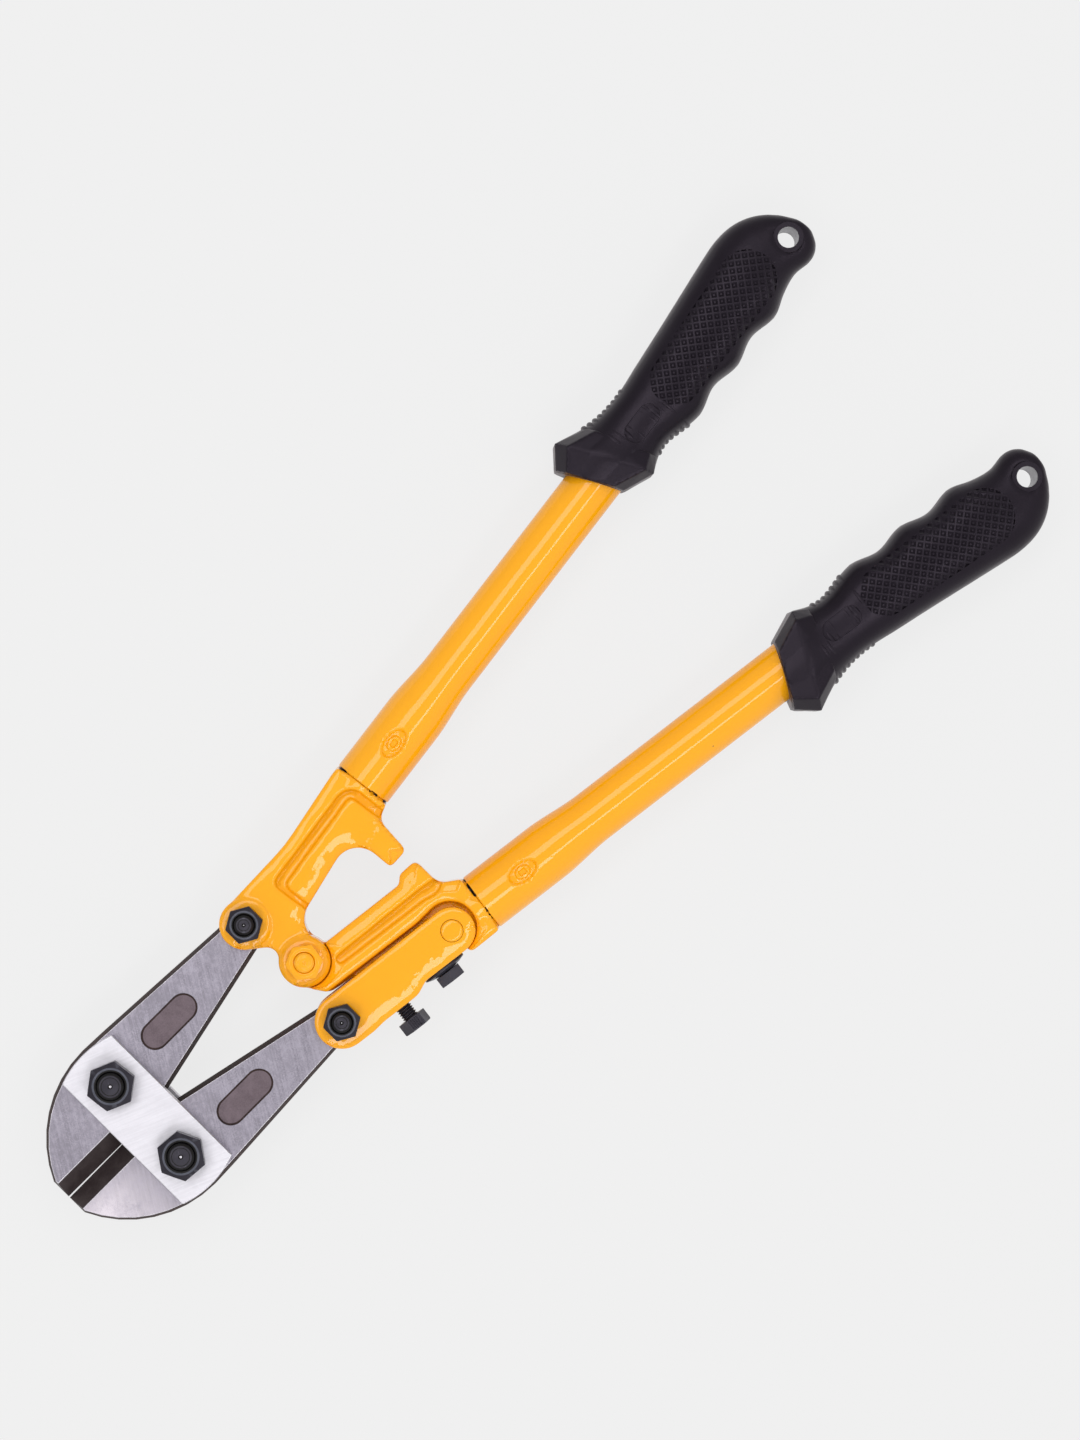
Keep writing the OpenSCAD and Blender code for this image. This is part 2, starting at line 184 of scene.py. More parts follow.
def cutWith(piece, tool, operation="DIFFERENCE"):
    applied(piece, "BOOLEAN", object=tool, operation=operation, solver="EXACT")
    bpy.data.objects.remove(tool)
    return piece


def joined(pieces, name):
    onlyThis(pieces[0])
    for other in pieces[1:]:
        other.select_set(True)
    bpy.ops.object.join()
    return newPiece(name)


def copied(piece, name):
    onlyThis(piece)
    bpy.ops.object.duplicate()
    return newPiece(name)


def copyOfNode(node, name, matrix):
    # a merged copy of a frame node, in millimetres at the bench
    source = frame["nodes"][node]
    onlyThis(source)
    bpy.ops.object.duplicate()
    bpy.ops.object.parent_clear(type="CLEAR_KEEP_TRANSFORM")
    piece = newPiece(name)
    for key in list(piece.keys()):
        del piece[key]
    piece.data.materials.clear()
    bpy.ops.mesh.customdata_custom_splitnormals_clear()
    moved(piece, matrix.inverted())
    pickAll(piece)
    bpy.ops.mesh.remove_doubles(threshold=0.002)
    bpy.ops.mesh.normals_make_consistent(inside=False)
    return bench(piece)


def flattened(piece, degrees=1.0):
    # turns the loose triangles of a flat face into one face
    pickAll(piece)
    bpy.ops.mesh.dissolve_limited(angle_limit=math.radians(degrees))
    return bench(piece)


def smoothShade(piece, degrees):
    onlyThis(piece)
    bpy.ops.object.shade_smooth_by_angle(angle=math.radians(degrees))
    return piece


def flatShade(piece, degrees):
    # rounds stay smooth and the wide faces beside them stay flat
    smoothShade(piece, degrees)
    return applied(piece, "WEIGHTED_NORMAL", mode="FACE_AREA", weight=80, keep_sharp=True)


def pressed(piece, depth, share):
    # moves the surface inward by depth times the share that a rule gives to each place
    group = piece.vertex_groups.new(name="pressed")
    for point in piece.data.vertices:
        weight = share(point.co)
        if weight > 0:
            group.add([point.index], min(1, weight), "REPLACE")
    applied(piece, "DISPLACE", strength=-depth, mid_level=0, vertex_group="pressed", direction="NORMAL")
    piece.vertex_groups.clear()
    return piece


def smoothStep(value):
    value = max(0, min(1, value))
    return value * value * (3 - 2 * value)


def finished(piece, body, node, materials, matrix, shade, flat=True):
    # places a piece in the frame, shades it by an angle in degrees, ties it to its body and hides the CAD node it
    # stands for
    faceOut(moved(piece, matrix))
    if flat:
        flatShade(piece, shade)
    else:
        smoothShade(piece, shade)
    for material in materials:
        piece.data.materials.append(material)
    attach(piece, body)
    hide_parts(node)
    return piece


def newGroup(name, inputs, outputs):
    group = bpy.data.node_groups.new(name, "ShaderNodeTree")
    for label, kind, value in inputs:
        socket = group.interface.new_socket(name=label, in_out="INPUT", socket_type=kind)
        if value is not None:
            socket.default_value = value
    for label, kind in outputs:
        group.interface.new_socket(name=label, in_out="OUTPUT", socket_type=kind)
    start = group.nodes.new("NodeGroupInput")
    end = group.nodes.new("NodeGroupOutput")
    return group, start, end


def addNode(tree, kind, **values):
    node = tree.nodes.new(kind)
    for key, value in values.items():
        setattr(node, key, value)
    return node


def feed(tree, socket, value):
    # a socket takes a link, a colour or a number
    if isinstance(value, bpy.types.NodeSocket):
        tree.links.new(value, socket)
    elif isinstance(value, tuple):
        socket.default_value = (*value, 1)
    else:
        socket.default_value = value


def mathNode(tree, operation, a, b):
    node = addNode(tree, "ShaderNodeMath", operation=operation)
    feed(tree, node.inputs[0], a)
    feed(tree, node.inputs[1], b)
    return node.outputs[0]


def ranged(tree, value, low, high, toLow=0.0, toHigh=1.0):
    node = addNode(tree, "ShaderNodeMapRange", clamp=True)
    names = ("Value", "From Min", "From Max", "To Min", "To Max")
    for name, number in zip(names, (value, low, high, toLow, toHigh)):
        feed(tree, node.inputs[name], number)
    return node.outputs["Result"]


def noise(tree, vector, scale, detail=3.0, roughness=0.5, distortion=0.0):
    node = addNode(tree, "ShaderNodeTexNoise")
    names = ("Vector", "Scale", "Detail", "Roughness", "Distortion")
    for name, number in zip(names, (vector, scale, detail, roughness, distortion)):
        feed(tree, node.inputs[name], number)
    return node.outputs["Fac"]


def buildBlotches():
    # soft uneven patches, with a finer grain on top
    group, start, end = newGroup(
        "blotches",
        [("Vector", "NodeSocketVector", None), ("Size", "NodeSocketFloat", 90.0),
         ("Contrast", "NodeSocketFloat", 0.2), ("Fine", "NodeSocketFloat", 0.3)],
        [("Mask", "NodeSocketFloat"), ("Height", "NodeSocketFloat")])
    vector, size = start.outputs["Vector"], start.outputs["Size"]
    wide = noise(group, vector, size, 4.0, 0.55, 0.4)
    fine = noise(group, vector, mathNode(group, "MULTIPLY", size, 9.0), 3.0, 0.6)
    grain = mathNode(group, "MULTIPLY", mathNode(group, "SUBTRACT", fine, 0.5), start.outputs["Fine"])
    mixed = mathNode(group, "ADD", wide, grain)
    low = mathNode(group, "SUBTRACT", 0.5, start.outputs["Contrast"])
    high = mathNode(group, "ADD", 0.5, start.outputs["Contrast"])
    group.links.new(ranged(group, mixed, low, high), end.inputs["Mask"])
    group.links.new(mixed, end.inputs["Height"])
    return group


def buildBrushing():
    # fine parallel scratches left by a grinding belt, along a line turned by Turn about Z
    group, start, end = newGroup(
        "brushing",
        [("Vector", "NodeSocketVector", None), ("Turn", "NodeSocketFloat", 0.0),
         ("Lines", "NodeSocketFloat", 4000.0), ("Length", "NodeSocketFloat", 90.0)],
        [("Mask", "NodeSocketFloat"), ("Height", "NodeSocketFloat")])
    turn = addNode(group, "ShaderNodeVectorRotate", rotation_type="Z_AXIS")
    group.links.new(start.outputs["Vector"], turn.inputs["Vector"])
    group.links.new(start.outputs["Turn"], turn.inputs["Angle"])
    stretch = addNode(group, "ShaderNodeCombineXYZ")
    group.links.new(start.outputs["Length"], stretch.inputs["X"])
    group.links.new(start.outputs["Lines"], stretch.inputs["Y"])
    group.links.new(start.outputs["Length"], stretch.inputs["Z"])
    scaled = addNode(group, "ShaderNodeVectorMath", operation="MULTIPLY")
    group.links.new(turn.outputs["Vector"], scaled.inputs[0])
    group.links.new(stretch.outputs["Vector"], scaled.inputs[1])
    lines = noise(group, scaled.outputs["Vector"], 1.0, 3.0, 0.6)
    group.links.new(ranged(group, lines, 0.38, 0.62), end.inputs["Mask"])
    group.links.new(lines, end.inputs["Height"])
    return group


def buildFlecks():
    # a few small round marks, such as pits in paint or specks of dust
    group, start, end = newGroup(
        "flecks",
        [("Vector", "NodeSocketVector", None), ("Spacing", "NodeSocketFloat", 160.0),
         ("Radius", "NodeSocketFloat", 0.06), ("Share", "NodeSocketFloat", 0.12)],
        [("Mask", "NodeSocketFloat")])
    cells = addNode(group, "ShaderNodeTexVoronoi", feature="F1")
    group.links.new(start.outputs["Vector"], cells.inputs["Vector"])
    group.links.new(start.outputs["Spacing"], cells.inputs["Scale"])
    radius = start.outputs["Radius"]
    spot = ranged(group, cells.outputs["Distance"], mathNode(group, "MULTIPLY", radius, 0.5), radius, 1.0, 0.0)
    chosen = addNode(group, "ShaderNodeSeparateColor")
    group.links.new(cells.outputs["Color"], chosen.inputs["Color"])
    kept = mathNode(group, "LESS_THAN", chosen.outputs["Red"], start.outputs["Share"])
    group.links.new(mathNode(group, "MULTIPLY", spot, kept), end.inputs["Mask"])
    return group


def buildEdgesAndCreases():
    # outer edges and inner corners, from how sharply the surface turns; used for real wear and for painted highlight
    # and painted shade
    group, start, end = newGroup(
        "edgesAndCreases",
        [("Vector", "NodeSocketVector", None), ("Break", "NodeSocketFloat", 400.0), ("Width", "NodeSocketFloat", 0.06)],
        [("Edge", "NodeSocketFloat"), ("Crease", "NodeSocketFloat")])
    edgeFrom, creaseFrom, ragged = 0.52, 0.49, 0.05
    width = start.outputs["Width"]
    surface = addNode(group, "ShaderNodeNewGeometry")
    breaks = mathNode(group, "SUBTRACT", noise(group, start.outputs["Vector"], start.outputs["Break"], 2.0), 0.5)
    bend = mathNode(group, "ADD", surface.outputs["Pointiness"], mathNode(group, "MULTIPLY", breaks, ragged))
    edge = ranged(group, bend, edgeFrom, mathNode(group, "ADD", edgeFrom, width))
    crease = ranged(group, bend, mathNode(group, "SUBTRACT", creaseFrom, width), creaseFrom, 1.0, 0.0)
    group.links.new(edge, end.inputs["Edge"])
    group.links.new(crease, end.inputs["Crease"])
    return group


effects = {
    "blotches": buildBlotches(),
    "brushing": buildBrushing(),
    "flecks": buildFlecks(),
    "edgesAndCreases": buildEdgesAndCreases(),
}


class Finish:
    # one material, its shader and short ways to add nodes to it

    def __init__(self, name, roughness, metallic=0.0, **constants):
        self.material = bpy.data.materials.new(name)
        self.material.use_nodes = True
        self.tree = self.material.node_tree
        self.shader = self.tree.nodes["Principled BSDF"]
        self.place = addNode(self.tree, "ShaderNodeTexCoord").outputs["Object"]
        self.shader.inputs["Roughness"].default_value = roughness
        self.shader.inputs["Metallic"].default_value = metallic
        for label, value in constants.items():
            self.shader.inputs[label.replace("_", " ")].default_value = value

    def effect(self, name, **values):
        node = addNode(self.tree, "ShaderNodeGroup", node_tree=effects[name])
        self.tree.links.new(self.place, node.inputs["Vector"])
        for label, value in values.items():
            node.inputs[label].default_value = value
        return node.outputs

    def mix(self, mask, first, second):
        # in a mix node 6 and 7 are its colour inputs, and 2 its colour output
        node = addNode(self.tree, "ShaderNodeMix", data_type="RGBA")
        for socket, value in ((node.inputs["Factor"], mask), (node.inputs[6], first), (node.inputs[7], second)):
            feed(self.tree, socket, value)
        return node.outputs[2]

    def share(self, mask, amount):
        return mathNode(self.tree, "MULTIPLY", mask, amount)

    def colour(self, value):
        self.tree.links.new(value, self.shader.inputs["Base Color"])

    def noise(self, scale, detail=3.0, roughness=0.6):
        return noise(self.tree, self.place, scale, detail, roughness)

    def attribute(self, name):
        return addNode(self.tree, "ShaderNodeAttribute", attribute_name=name).outputs["Fac"]

    def rough(self, mask, low, high):
        self.tree.links.new(ranged(self.tree, mask, 0.0, 1.0, low, high), self.shader.inputs["Roughness"])

    def bump(self, *layers):
        # each layer is a height and the depth in metres that it stands for
        normal = None
        for height, depth in layers:
            node = addNode(self.tree, "ShaderNodeBump")
            node.inputs["Strength"].default_value = 1.0
            node.inputs["Distance"].default_value = depth
            self.tree.links.new(height, node.inputs["Height"])
            if normal is not None:
                self.tree.links.new(normal, node.inputs["Normal"])
            normal = node.outputs["Normal"]
        self.tree.links.new(normal, self.shader.inputs["Normal"])
        return normal


def enamel(name, lumps, lumpSize, peelDepth):
    # thick gloss enamel, broken where two pieces meet; edges painted paler (thinner paint and painted highlight),
    # hollows and creases deeper (pooled paint and painted shade)
    values = {
        "yellow": (0.965, 0.408, 0.005),
        "deep": (0.70, 0.272, 0.002),
        "pale": (0.97, 0.46, 0.03),
        "speck": (0.12, 0.05, 0.015),
        "bare": (0.015, 0.010, 0.008),
    }
    finish = Finish(name, 0.45, Specular_IOR_Level=0.0, Coat_Weight=1.0, Coat_Roughness=0.03, Coat_IOR=1.5)
    patches = finish.effect("blotches", Size=70.0, Contrast=0.3, Fine=0.15)
    edgeMasks = finish.effect("edgesAndCreases", Break=500.0, Width=0.07)
    specks = finish.effect("flecks", Spacing=170.0, Radius=0.05, Share=0.07)
    seam = finish.attribute("seam")
    broken = finish.share(seam, ranged(finish.tree, finish.noise(330.0, 2.0, 0.5), 0.50, 0.56))
    body = finish.mix(finish.share(patches["Mask"], 0.10), values["yellow"], values["deep"])
    hollowShade = finish.attribute("hollow")
    # painted shade: hollows are painted deeper, most beside the crest that shades them
    body = finish.mix(finish.share(hollowShade, 0.8), body, values["deep"])
    # painted shade: inner corners are painted a little deeper
    body = finish.mix(finish.share(edgeMasks["Crease"], 0.08), body, values["deep"])
    # edges are painted paler: partly thinner paint, partly painted highlight
    body = finish.mix(finish.share(edgeMasks["Edge"], 0.4), body, values["pale"])
    body = finish.mix(finish.share(specks["Mask"], 0.8), body, values["speck"])
    body = finish.mix(ranged(finish.tree, broken, 0.3, 0.5), body, values["bare"])
    finish.colour(body)
    finish.rough(patches["Mask"], 0.4, 0.5)
    # painted shade: hollows get a weaker coat, because less light gets in
    finish.tree.links.new(ranged(finish.tree, hollowShade, 0.2, 1.0, 1.0, 0.3), finish.shader.inputs["Coat Weight"])
    ripple = finish.noise(1.0 / lumpSize, 2.0, 0.35)
    peel = finish.noise(900.0, 1.0, 0.5)
    normal = finish.bump((ripple, lumps), (peel, peelDepth), (specks["Mask"], -0.00008))
    finish.tree.links.new(normal, finish.shader.inputs["Coat Normal"])
    return finish.material


# where a painted highlight lies on the right jaw's nose, and its colour
paintedGlareValues = {"fromY": (-0.155, -0.176), "fromX": (-0.002, 0.010), "pale": (0.84, 0.77, 0.83)}


def groundSteel(name, tone, turn, roughness, lines=1500.0, depth=0.000012, cloud=0.5, paintedGlare=0.0):
    # belt-ground steel: parallel lines, cloudy patches and a few pale scuffs
    # a painted highlight makes the right side paler near the nose, where it turns to the light; the last argument says
    # how much
    finish = Finish(name, roughness, 1.0)
    light, dark, scuff = (tuple(min(1.0, value * share) for value in tone) for share in (1.14, 0.66, 1.4))
    patches = finish.effect("blotches", Size=70.0, Contrast=0.3, Fine=1.0)
    belt = finish.effect("brushing", Turn=turn, Lines=lines, Length=70.0)
    scuffs = finish.effect("blotches", Size=240.0, Contrast=0.08, Fine=1.6)
    marks = finish.effect("flecks", Spacing=330.0, Radius=0.07, Share=0.04)
    body = finish.mix(finish.share(patches["Mask"], 0.55 * cloud), light, dark)
    body = finish.mix(finish.share(belt["Mask"], 0.5 * cloud + 0.12), body, dark)
    # painted highlight: paler near the nose of the right jaw
    if paintedGlare:
        where = addNode(finish.tree, "ShaderNodeSeparateXYZ")
        finish.tree.links.new(finish.place, where.inputs[0])
        ahead = ranged(finish.tree, where.outputs["Y"], *paintedGlareValues["fromY"])
        aside = ranged(finish.tree, where.outputs["X"], *paintedGlareValues["fromX"])
        body = finish.mix(finish.share(finish.share(ahead, aside), paintedGlare), body, paintedGlareValues["pale"])
    scuffed = finish.share(scuffs["Mask"], mathNode(finish.tree, "SUBTRACT", 1.0, patches["Mask"]))
    body = finish.mix(finish.share(scuffed, 0.5 * cloud), body, scuff)
    body = finish.mix(finish.share(marks["Mask"], 0.5), body, (0.12, 0.11, 0.11))
    finish.colour(body)
    finish.rough(patches["Mask"], roughness - 0.05, roughness + 0.08)
    finish.bump((belt["Height"], depth), (patches["Height"], 0.00004))
    return finish.material


def darkScale(name, tone, warm, metallic=0.4, dull=0.0):
    # heat scale left on forged or stamped steel, from tone to warm in patches
    finish = Finish(name, 0.5, metallic, Specular_IOR_Level=metallic)
    patches = finish.effect("blotches", Size=260.0, Contrast=0.25, Fine=0.6)
    finish.colour(finish.mix(patches["Mask"], tone, warm))
    finish.rough(patches["Mask"], 0.42 + dull, 0.62 + dull)
    grain = finish.noise(2600.0)
    finish.bump((patches["Height"], 0.00006), (grain, 0.000025))
    return finish.material


def blackOxide(name, dark, pale):
    # a thin satin blacking, rubbed grey on its edges
    finish = Finish(name, 0.34, 0.55)
    patches = finish.effect("blotches", Size=300.0, Contrast=0.3, Fine=0.4)
    edgeMasks = finish.effect("edgesAndCreases", Break=900.0, Width=0.08)
    body = finish.mix(patches["Mask"], dark, pale)
    finish.colour(finish.mix(finish.share(edgeMasks["Edge"], 0.35), body, (0.14, 0.14, 0.17)))
    finish.rough(patches["Mask"], 0.28, 0.46)
    grain = finish.noise(2200.0)
    finish.bump((patches["Height"], 0.00002), (grain, 0.000012))
    return finish.material


def moulded():
    # satin black rubber; its edges painted paler, partly dust and partly painted sheen
    finish = Finish("mouldedRubber", 0.4, Specular_IOR_Level=0.27, Specular_Tint=(0.95, 0.80, 1.0, 1),
                    Sheen_Weight=0.08, Sheen_Roughness=0.35, Sheen_Tint=(1.0, 0.72, 0.82, 1))
    patches = finish.effect("blotches", Size=110.0, Contrast=0.3, Fine=0.4)
    edgeMasks = finish.effect("edgesAndCreases", Break=700.0, Width=0.1)
    dust = finish.effect("flecks", Spacing=330.0, Radius=0.07, Share=0.05)
    body = finish.mix(patches["Mask"], (0.0040, 0.0028, 0.0050), (0.0062, 0.0048, 0.0078))
    # edges painted paler: partly dust, partly painted sheen
    body = finish.mix(finish.share(edgeMasks["Edge"], 0.4), body, (0.022, 0.020, 0.025))
    body = finish.mix(finish.share(dust["Mask"], 0.4), body, (0.06, 0.055, 0.06))
    finish.colour(body)
    finish.rough(patches["Mask"], 0.30, 0.42)
    grain = finish.noise(3000.0)
    finish.bump((patches["Height"], 0.00005), (grain, 0.00002))
    return finish.material


paintOnCasting = enamel("enamelOnCasting", 0.00022, 0.006, 0.000002)
paintOnTube = enamel("enamelOnTube", 0.00014, 0.020, 0.0000003)
# the jaw faces carry a painted highlight near the right jaw's nose
jawFace = groundSteel("groundJawFace", (0.315, 0.292, 0.345), 0.54, 0.36, depth=0.00003, cloud=1.2, paintedGlare=0.72)
jawEdge = groundSteel("brightJawEdge", (0.55, 0.53, 0.57), 0.4, 0.42, cloud=0.4)
strapFace = groundSteel("satinStrap", (0.60, 0.585, 0.625), -1.17, 0.45, depth=0.000012, cloud=0.16)
eyeletWall = groundSteel("eyeletWall", (0.13, 0.12, 0.14), 0.0, 0.3)
forgedSide = darkScale("forgedSide", (0.024, 0.014, 0.014), (0.075, 0.050, 0.047), 0.2, 0.3)
bladeBevel = darkScale("bladeBevel", (0.040, 0.028, 0.029), (0.066, 0.050, 0.050))
stampedFloor = darkScale("stampedFloor", (0.100, 0.072, 0.085), (0.170, 0.128, 0.148))
oxide = blackOxide("blackOxide", (0.021, 0.019, 0.028), (0.038, 0.034, 0.046))
# painted light: a paler copy of the blacking for the nuts' upper faces, which face the light above
oxideLitTop = blackOxide("litOxideTop", (0.060, 0.064, 0.085), (0.095, 0.098, 0.125))
# painted shade: a near black for corners, chamfers and rings where shadow falls
paintedShade = darkScale("paintedShade", (0.0035, 0.003, 0.003), (0.008, 0.007, 0.007))
rubber = moulded()
print("materials mixed")


jawValues = {
    "halfThickness": 5.5,
    "edgeRound": 0.14,
    "lean": 0.5,
    "strapPivot": (14.75, -66.3),
    "tailPivot": (20.6, -4.7),
    "boreClear": 5.2,  # the bores' walls stay straight within this radius
    "bevelReach": 5.35,
    "edgeRear": -74.3,
    "edgeGap": 0.006,
    "closing": 0.0067,  # how far each jaw turns, in radians, until the stop lugs touch
    "recess": (16, -41.3),
    "recessHalf": (4.6, 10.6),
    "recessHeights": (4.6, 5.3),
    "recessWall": 4.9,
    "paintedShadeShare": (0.87, 0.944, 1),
}


def leanSides(piece, amount, side):
    # the forged sides lean in further towards both faces
    values = jawValues
    outward = {}

    def isSide(face):
        x, y, z = face.center.x * side, face.center.y, face.center.z
        if abs(face.normal.z) > 0.4:
            return False
        for atX, atY in (values["strapPivot"], values["tailPivot"]):
            if math.hypot(x - atX, y - atY) < values["boreClear"]:
                return False
        (atX, atY), (halfX, halfY) = values["recess"], values["recessHalf"]
        return not (abs(x - atX) < halfX and abs(y - atY) < halfY and abs(z) > values["recessWall"])

    for face in piece.data.polygons:
        if isSide(face):
            for index in face.vertices:
                outward[index] = outward.get(index, Vector((0, 0, 0))) + Vector((face.normal.x, face.normal.y, 0))
    for index, direction in outward.items():
        point = piece.data.vertices[index]
        if abs(point.co.z) > values["halfThickness"] - 0.1 and direction.length > 0.1:
            point.co -= direction.normalized() * amount


def makeJaw(side):
    values = jawValues
    name = sideName(side)
    piece = flattened(copyOfNode(name + "_jaw", name + "JawForging", headPlace()), 0.6)
    leanSides(piece, values["lean"], side)
    finishes = [jawFace, forgedSide, bladeBevel, stampedFloor, jawEdge, paintedShade]
    for material in finishes:
        piece.data.materials.append(material)
    half = values["halfThickness"]
    for face in piece.data.polygons:
        height = abs(face.center.z)
        isFlat = abs(face.normal.z) > 0.99
        atEdge = abs(face.center.x) < values["bevelReach"] and face.center.y < values["edgeRear"]
        if isFlat and height > half - 0.1:
            face.material_index = finishes.index(jawFace)
        elif atEdge and height < half:
            face.material_index = finishes.index(bladeBevel)
        elif isFlat:
            face.material_index = finishes.index(stampedFloor)
        else:
            face.material_index = finishes.index(forgedSide)
    # painted shade: the floor is painted near black in the corner around each stamped recess, where shadow falls
    low, high = values["recessHeights"]
    pickFaces(piece, lambda centre, normal: abs(normal.z) > 0.99 and low < abs(centre.z) < high)
    bpy.ops.mesh.extrude_region_move()
    middle = (values["recess"][0] * side, values["recess"][1], 0)
    bpy.ops.transform.resize(value=values["paintedShadeShare"], center_override=middle)
    bench(piece)
    for face in piece.data.polygons:
        if face.material_index == finishes.index(stampedFloor) and not face.select:
            face.material_index = finishes.index(paintedShade)
    # the cutting edges part evenly from the strap bolts, and meet when the stop lugs touch
    for point in piece.data.vertices:
        if abs(point.co.x) < 0.4 and point.co.y < values["edgeRear"] + 0.5:
            point.co.x = side * (values["edgeGap"] + (values["strapPivot"][1] - point.co.y) * values["closing"])
    # only the rim beside the tall sides is rounded, and worn bright
    flatEdges, sideEdges = set(), set()
    for face in piece.data.polygons:
        if abs(face.normal.z) > 0.99 and abs(face.center.z) > half - 0.1:
            flatEdges.update(face.edge_keys)
        elif abs(face.center.z) < half - 0.4:
            sideEdges.update(face.edge_keys)
    weights = piece.data.attributes.new("bevel_weight_edge", "FLOAT", "EDGE")
    for edge in piece.data.edges:
        if edge.key in flatEdges and edge.key in sideEdges:
            weights.data[edge.index].value = 1.0
    rim = finishes.index(jawEdge)
    applied(piece, "BEVEL", width=values["edgeRound"], segments=2, limit_method="WEIGHT", material=rim)
    return finished(piece, name + "_jaw", name + "_jaw", [], headPlace(), 25)


for side in (1, -1):
    makeJaw(side)
print("jaws forged")

strapValues = {"edgeRound": 0.35}

for strap in ("front_strap", "rear_strap"):
    piece = flattened(copyOfNode(strap, strap.replace("_s", "S"), headPlace()))
    bevelled(piece, strapValues["edgeRound"], 40, segments=3)
    finished(piece, "straps", strap, [strapFace], headPlace(), 30)
print("straps ground")


# sink is the chamfer at a nut's bore, and pit the radius of the centre mark on a bolt's end
fastenerValues = {
    "jaw": {"radius": 4.0, "sink": 0.9, "pit": 0.75},
    "tail": {"radius": 3.0, "sink": 0.7, "pit": 0.6},
    "handle": {"radius": 3.0, "sink": 0.6, "pit": 0.6},
}


def makeNut(node, body, kind):
    values = fastenerValues[kind]
    piece = flattened(copyOfNode(node, node.replace("_", "") + "Hex", headPlace()))
    top = max(point.co.z for point in piece.data.vertices)
    centre = sum((point.co for point in piece.data.vertices), Vector()) / len(piece.data.vertices)
    bore = values["radius"] + 0.3

    def onBoreRim(a, b):
        return all(abs(p.z - top) < 0.02 and (p.xy - centre.xy).length < bore for p in (a, b))

    pickEdges(piece, onBoreRim)
    bpy.ops.mesh.bevel(offset=values["sink"], segments=2, affect="EDGES")
    bench(piece)
    bevelled(piece, 0.14, 25)
    if kind == "handle":
        return finished(piece, body, node, [paintOnCasting], headPlace(), 30)
    for face in piece.data.polygons:
        reach = (face.center.xy - centre.xy).length
        # painted light: the upper face takes the paler blacking
        if face.normal.z > 0.98 and face.center.z > top - 0.1:
            face.material_index = 1
        # painted shade: the bore's chamfer is painted near black
        elif reach < values["radius"] + values["sink"] + 0.05 and face.normal.z < 0.98:
            face.material_index = 2
    return finished(piece, body, node, [oxide, oxideLitTop, paintedShade], headPlace(), 30)


def makeBolt(node, body, kind):
    values = fastenerValues[kind]
    piece = flattened(copyOfNode(node, node.replace("_", "") + "Shank", headPlace()))
    top = max(point.co.z for point in piece.data.vertices)
    rim, step, markWall = 0.5, 0.25, 0.35
    pickFaces(piece, lambda centre, normal: normal.z > 0.99 and centre.z > top - 0.05)
    bpy.ops.mesh.inset(thickness=rim, depth=0)
    bpy.ops.mesh.inset(thickness=step, depth=-0.12)
    bpy.ops.mesh.inset(thickness=values["radius"] - 0.7 - rim - step - values["pit"], depth=0)
    bpy.ops.mesh.inset(thickness=markWall, depth=-0.35)
    bench(piece)
    pit = min(point.co.z for point in piece.data.vertices if point.select)
    bevelled(piece, 0.12, 25)
    if kind == "handle":
        return finished(piece, body, node, [paintOnCasting], headPlace(), 30)
    for face in piece.data.polygons:
        # painted highlight: the floor of the centre mark takes the bright steel of the jaws' rims
        if face.normal.z > 0.98 and abs(face.center.z - pit) < 0.05:
            face.material_index = 1
        # painted shade: the chamfer and step walls at the end are painted near black
        elif 0.2 < face.normal.z < 0.95 and face.center.z > top - 1.2:
            face.material_index = 2
    return finished(piece, body, node, [oxide, jawEdge, paintedShade], headPlace(), 30)


for side in (1, -1):
    name = sideName(side)
    makeNut(name + "_jaw_nut", "straps", "jaw")
    makeBolt(name + "_jaw_bolt", "straps", "jaw")
    tailBody = "right_jaw" if side > 0 else "left_handle"
    makeNut(name + "_tail_nut", tailBody, "tail")
    makeBolt(name + "_tail_bolt", tailBody, "tail")
makeNut("handle_pivot_nut", "left_handle", "handle")
makeBolt("handle_pivot_bolt", "left_handle", "handle")
print("bolts and nuts turned")


# roll and reach: how far a rim rolls off, and over what width. slope, width, bend and towards: the further slope to
# one side (-1 inward, 1 outward). walls: the heights between which a wall is looked for. lumps: size and depth of
# each unevenness. top and floor: the heights of the crests and of the sunken panels. lee: the shaded side of a hollow.
castingValues = {
    "leftCasting": {
        "rounds": 24, "roll": 0.4, "reach": 3.0, "slope": 1.05, "width": 5.2, "bend": 1.08, "towards": -1, "lee": -1,
        "walls": (6.0, 7.0), "bores": 4.6, "lumps": ((7.0, 0.46), (3.6, 0.12)), "top": 8.6, "floor": 5.0,
    },
    "rightCasting": {
        "rounds": 24, "roll": 0.4, "reach": 3.0, "slope": 0.8, "width": 5.6, "bend": 1.25, "towards": -1, "lee": 1,
        "walls": (6.0, 7.0), "bores": 4.6, "lumps": ((8.0, 0.36), (3.6, 0.10)), "top": 8.6, "floor": 5.0,
    },
    "linkForging": {
        "rounds": 12, "roll": 0.3, "reach": 2.4, "slope": 0.85, "width": 6.0, "bend": 1.25, "towards": 1, "lee": 1,
        "walls": (6.6, 8.4), "bores": 4.6, "lumps": ((9.0, 0.16), (3.5, 0.04)), "top": 9.6, "floor": 9.0,
    },
    "rivetHeads": {
        "rounds": 6, "roll": 0.3, "reach": 3.3, "slope": 0, "width": 1, "bend": 1, "towards": 1, "lee": 1,
        "walls": (9.0, 9.7), "bores": 0, "lumps": (), "top": 9.6, "floor": 9.4,
    },
}
castingSkin = 0.36
seamPlace = 52.5
rivetPlace = (19.5, 40.5)
boltPlaces = ((0.0, 0.0), (21.0, -2.0), rivetPlace)
linkPlates = (5.8, 9.4)  # heights of the link's upper plate
linkPlug = 3.9
linkBore = 3.46


